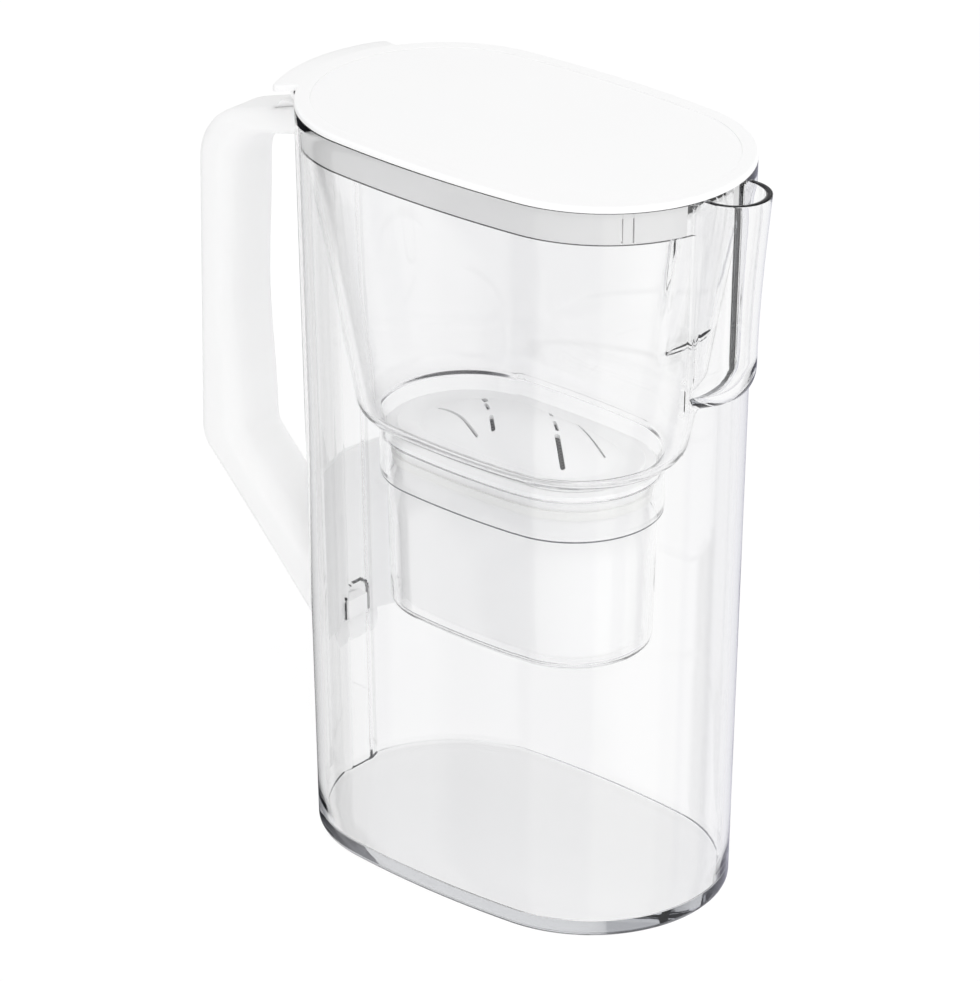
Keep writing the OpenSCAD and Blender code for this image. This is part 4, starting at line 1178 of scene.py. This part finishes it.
@dataclass
class Cartridge:
    """White oval cartridge: shell with flange, slotted dome, seal, meshes, media and outlet grille."""

    hopper: Hopper
    inset: float = 3.8
    flare: float = 1.5
    low_z: float = 90.0
    bottom_r: float = 3.0
    corner: float = 0.4
    wall: float = 1.5
    seat_z: float = 151.2
    flange_t: float = 2.0
    flange_gap: float = 0.7
    dome_inset: float = 3.7
    dome_brim: float = 5.7
    dome_h: float = 11.0
    dome_gap: float = 0.02
    grille_inset: float = 7.0
    # Each water slot of one half: its ends' X and Y, and its width.
    SLOTS: ClassVar = (
        (-33.0, -3.4, -6.5, -14.0, 0.9),
        (-6.9, -6.4, -2.3, -10.6, 1.4),
        (11.1, 3.0, 15.3, -0.3, 1.2),
        (17.4, -2.8, 27.9, -12.0, 1.8),
    )

    def body(self, z: float) -> Oval:
        """Outer outline of the body."""
        h = self.hopper
        t = (z - self.low_z) / (h.seat_z - self.low_z)
        return h.collar.inset(h.well_inset + self.inset - self.flare * t)

    @property
    def flange(self) -> Oval:
        """Outline of the flange."""
        return self.hopper.collar.inset(self.hopper.collar_wall + self.flange_gap)

    def build_shell(self) -> None:
        """Makes the body up to the flange, then down its inside to the grille's opening."""
        e, w, z0, z1, top = self.corner, self.wall, self.low_z, self.seat_z, self.seat_z + self.flange_t
        drain = self.body(z0).inset(self.grille_inset)
        levels = [(drain, z0)]
        levels += [(self.body(z0 + up).inset(inward), z0 + up) for up, inward in quarter(self.bottom_r, 6)]
        levels += [(self.body(z), z) for z in (110.0, 130.0, z1)]
        rim = ((z1, e), (z1 + e, 0.0), (top - e, 0.0), (top - 0.1, 0.1), (top, e))
        levels += [(self.flange.inset(d), z) for z, d in rim]
        levels += [(self.body(z).inset(w), z) for z in (top, 130.0, z0 + w)] + [(drain, z0 + w)]
        shell = Surface.through([ring(oval.outline(), z) for oval, z in levels], loop_rows=True)
        as_piece("cartridge_shell_white", shell, CARTRIDGE_WHITE, "cartridge", ["cartridge_shell"])

    def dome_rings(self, inset: float, start: float) -> list[np.ndarray]:
        """Rings of a paraboloid over the dome's oval: share cos t of the outline at share sin^2 t of the height."""
        edge = self.flange.inset(self.dome_inset + self.dome_brim + inset).outline(64, 14)
        base, rise = self.seat_z + self.flange_t, self.dome_h - inset
        steps = np.radians(np.linspace(start, 88.0, 24))
        return [ring(edge * math.cos(t), base + rise * math.sin(t) ** 2) for t in steps]

    def slot(self, ends: np.ndarray, width: float) -> Surface:
        """Upright cutter with rounded ends for one water slot."""
        start, stop = ends
        base = self.seat_z + self.flange_t
        along = math.atan2(*(stop - start)[::-1])
        half_turn = along + np.radians(np.linspace(-90.0, 90.0, 13))
        loop = np.concatenate([arc(*stop, width / 2.0, half_turn), arc(*start, -width / 2.0, half_turn)])
        return Surface.through([ring(loop, base + 1.0), ring(loop, base + 2.0 * self.dome_h)])

    def build_dome(self) -> None:
        """Makes the dome with its brim as a shell and cuts its slots, one half's turned by half a turn."""
        base, brim = self.seat_z + self.flange_t, self.flange.inset(self.dome_inset)
        e, w = self.corner, self.wall
        levels = [(e, self.dome_gap), (0.0, e), (0.0, w - e), (e, w)]
        outside = [ring(brim.inset(d).outline(64, 14), base + up) for d, up in levels]
        whole = Surface.through(outside + self.dome_rings(0.0, 20.0))
        dome = as_piece("cartridge_dome_white", whole, CARTRIDGE_WHITE, "cartridge", ["cartridge_dome"])
        inner = self.dome_rings(w, 0.0)
        cut(dome, Surface.through([inner[0] - np.array([0.0, 0.0, 1.0]), *inner[1:]]))
        for turned in (1.0, -1.0):
            for *ends, width in self.SLOTS:
                cut(dome, self.slot(turned * np.reshape(ends, (2, 2)), width))
        dome.data.set_sharp_from_angle(angle=EDGE_ANGLE)

    def build(self) -> None:
        """Makes the cartridge's shown pieces and dresses its inner ones."""
        self.build_shell()
        self.build_dome()
        inside = {"cartridge_seal": SEAL, "carbon_bed": CARBON, "resin_bed": RESIN, "inlet_mesh": CLOTH}
        inside |= {"separator_mesh": CLOTH, "outlet_mesh": CLOTH, "outlet_grille": CARTRIDGE_WHITE}
        for node, finish in inside.items():
            dress(node, finish)


# Studio


class Shown(Enum):
    """Kinds of ray that see the plain backdrop."""

    CAMERA = "Is Camera Ray"
    GLOSSY = "Is Glossy Ray"
    TRANSMISSION = "Is Transmission Ray"


@dataclass
class Studio:
    """White floor and surround, soft lamps and the camera of the photographed view.

    The ramps hold stops of position and grey level. Position is the share of a turn about flag_bearing, or
    for OVERHEAD the height of a ray's direction.
    """

    azimuth: float = 41.0
    elevation: float = 25.7
    distance: float = 1938.6
    target: tuple[float, float, float] = (-8.79, -6.65, 133.9)
    focal_px: float = 5750.0
    frame_px: float = 981.0
    sensor: float = 36.0
    clip_end: float = 50.0
    floor_half: float = 4000.0
    floor_z: float = -0.4
    floor_grey: float = 0.85
    floor_tone: float = 0.30
    floor_shine: float = 0.22
    floor_glow: float = 0.72
    dome_light: float = 0.93
    key_watts: float = 9.0
    key_size: tuple[float, float] = (1.6, 1.2)
    key_place: tuple[float, float, float] = (1.5, -0.5, 1.6)
    key_aim: tuple[float, float, float] = (0.0, 0.0, 0.12)
    flag_bearing: float = 131.0
    strip_z: float = -0.434  # height of the direction in which the photographed view looks down
    blue: float = 1.05
    flag_blue: float = 1.2
    bounces: int = 32
    glossy_bounces: int = 12
    PASSED: ClassVar = (
        (0.15, 1.0), (0.16, 0.6), (0.215, 0.6), (0.225, 1.0), (0.28, 1.0), (0.29, 0.6),
        (0.32, 0.6), (0.33, 1.0), (0.645, 1.0), (0.66, 0.05), (0.72, 0.05), (0.73, 1.0),
        (0.77, 1.0), (0.78, 0.5), (0.84, 0.5), (0.85, 1.0),
    )
    MIRRORED: ClassVar = (
        (0.0, 1.0), (0.19, 1.0), (0.20, 0.5), (0.47, 0.5), (0.50, 0.05), (0.735, 0.05),
        (0.75, 0.36), (0.99, 0.36), (1.0, 1.0),
    )
    BESIDE: ClassVar = ((0.0, 0.9), (0.47, 0.9), (0.50, 0.05), (0.735, 0.05), (0.76, 0.9))
    OVERHEAD: ClassVar = ((0.25, 1.0), (0.42, 0.30), (0.55, 0.08), (0.86, 0.08), (0.90, 1.0))
    LEFT_LIGHT: ClassVar = ((0.53, 0.0), (0.58, 0.9), (0.90, 0.9), (0.95, 0.0))

    @staticmethod
    def placed(name: str, data: bpy.types.ID, place: Vector, back: Vector) -> bpy.types.Object:
        """Puts a camera or a lamp at a place, with its back turned to a direction."""
        obj = bpy.data.objects.new(name, data)
        obj.location = place
        obj.rotation_euler = back.to_track_quat("Z", "Y").to_euler()
        bpy.context.scene.collection.objects.link(obj)
        return obj

    def camera(self) -> None:
        """Places the camera on its bearing from the target, with a lens worked out from the focal length."""
        az, el = math.radians(self.azimuth), math.radians(self.elevation)
        back = Vector((math.sin(az) * math.cos(el), -math.cos(az) * math.cos(el), math.sin(el)))
        data = bpy.data.cameras.new("camera")
        data.sensor_width, data.clip_end = self.sensor, self.clip_end
        data.lens = self.focal_px * self.sensor / self.frame_px
        place = (Vector(self.target) + back * self.distance) * MM
        bpy.context.scene.camera = self.placed("camera", data, place, back)

    def lamps(self) -> None:
        """One large soft lamp high on the right, on the spout's side."""
        data = bpy.data.lights.new("key_softbox", "AREA")
        data.shape, data.energy = "RECTANGLE", self.key_watts
        data.size, data.size_y = self.key_size
        place = Vector(self.key_place)
        self.placed("key_softbox", data, place, place - Vector(self.key_aim))

    def floor(self) -> None:
        """Floor that is white to the eye, takes the object's shadow and lights it from below.

        Clear and glossy surfaces look past it to the surround, which is white below the horizon as well.
        """
        material = bpy.data.materials.new("studio_floor")
        graph = Graph(material)
        path = graph.add("LightPath").outputs
        camera = path[Shown.CAMERA.value]
        tone = graph.blend(camera, (self.floor_grey,) * 3 + (1.0,), (self.floor_tone,) * 3 + (1.0,))
        matt = graph.add("BsdfDiffuse", {"Color": tone})
        glow = graph.add("Emission", {"Strength": graph.span(camera, self.floor_shine, self.floor_glow)})
        both = graph.add("AddShader", {0: matt.outputs[0], 1: glow.outputs[0]})
        past = graph.add("BsdfTransparent")
        bent = graph.math("MAXIMUM", path[Shown.GLOSSY.value], path[Shown.TRANSMISSION.value])
        out = graph.add("MixShader", {0: bent, 1: both.outputs[0], 2: past.outputs[0]})
        graph.add("OutputMaterial", {"Surface": out.outputs[0]})
        h, z = self.floor_half, self.floor_z
        corners = np.array([(-h, -h, z), (h, -h, z), (h, h, z), (-h, h, z)])
        obj = as_object("studio_floor", Surface(corners, np.arange(4)[None, :]))
        obj.data.materials.append(material)

    def ramp(self, graph: Graph, value: Socket, stops: Sequence, blue: float | None = None) -> Socket:
        """Grey that follows value through stops of position and level, a little bluer by a factor."""
        node = graph.add("ValToRGB", {"Fac": value})
        elements = node.color_ramp.elements
        while len(elements) < len(stops):
            elements.new(1.0)
        for element, (position, grey) in zip(elements, stops):
            element.position = position
            element.color = (grey, grey, min(1.0, grey * (blue or self.blue)), 1.0)
        return node.outputs["Color"]

    def surround(self) -> None:
        """World: plain white to the eye, a soft dome to matt surfaces, a lit set to clear and glossy ones.

        Of that set, the part over the horizon is a white wall, a dark ceiling and a softbox overhead. The
        part below it is a white table between dark flags: clear walls pass the table and draw the flags as
        edge lines, and their reflections are grey but for the table's front, a light upright band.
        """
        world = bpy.data.worlds.new("studio")
        bpy.context.scene.world = world
        graph = Graph(world)
        path = graph.add("LightPath").outputs
        camera, passing = path[Shown.CAMERA.value], path[Shown.TRANSMISSION.value]
        way = graph.add("SeparateXYZ", {0: graph.add("TexCoord").outputs["Generated"]}).outputs
        bearing = graph.math("ARCTAN2", way["Y"], way["X"])
        turns = graph.math("MULTIPLY_ADD", bearing, 1.0 / (2.0 * math.pi), 0.5 - self.flag_bearing / 360.0)
        around = graph.math("FRACT", turns)
        off_strip = graph.math("ABSOLUTE", graph.math("SUBTRACT", way["Z"], self.strip_z))
        beside = self.ramp(graph, around, self.BESIDE)
        on_strip = self.ramp(graph, around, self.MIRRORED, self.flag_blue)
        mirrored = graph.blend(graph.span(off_strip, 1.0, 0.0, 0.08, 0.2), beside, on_strip)
        ceiling = self.ramp(graph, way["Z"], self.OVERHEAD)
        high = graph.blend(1.0, ceiling, self.ramp(graph, around, self.LEFT_LIGHT), "LIGHTEN")
        low = graph.blend(passing, mirrored, self.ramp(graph, around, self.PASSED))
        lit_set = graph.blend(graph.span(way["Z"], 0.0, 1.0, -0.05, 0.1), low, high)
        bent = graph.math("MAXIMUM", path[Shown.GLOSSY.value], passing)
        plain = graph.blend(camera, (self.dome_light,) * 3 + (1.0,), (1.0, 1.0, 1.0, 1.0))
        light = graph.add("Background", {"Color": graph.blend(bent, plain, lit_set)})
        graph.add("OutputWorld", {"Surface": light.outputs[0]})

    def build(self) -> None:
        """Sets the stage."""
        scene = bpy.context.scene
        scene.view_settings.view_transform = "Standard"
        scene.cycles.max_bounces = scene.cycles.transmission_bounces = self.bounces
        scene.cycles.transparent_max_bounces = self.bounces
        scene.cycles.glossy_bounces = self.glossy_bounces
        self.camera()
        self.floor()
        self.surround()
        self.lamps()


def main() -> None:
    """Builds the studio, then each sub-assembly in order."""
    logging.basicConfig(level=logging.INFO, format="%(message)s")
    Studio().build()
    jug = Jug()
    rim = RimFrame(jug)
    hopper = Hopper(jug, rim)
    jug.build()
    Handle(jug).build()
    rim.build()
    dress("hinge_pin", STEEL)
    hopper.build()
    Lid(rim).build()
    Cartridge(hopper).build()


if __name__ == "__main__":
    main()
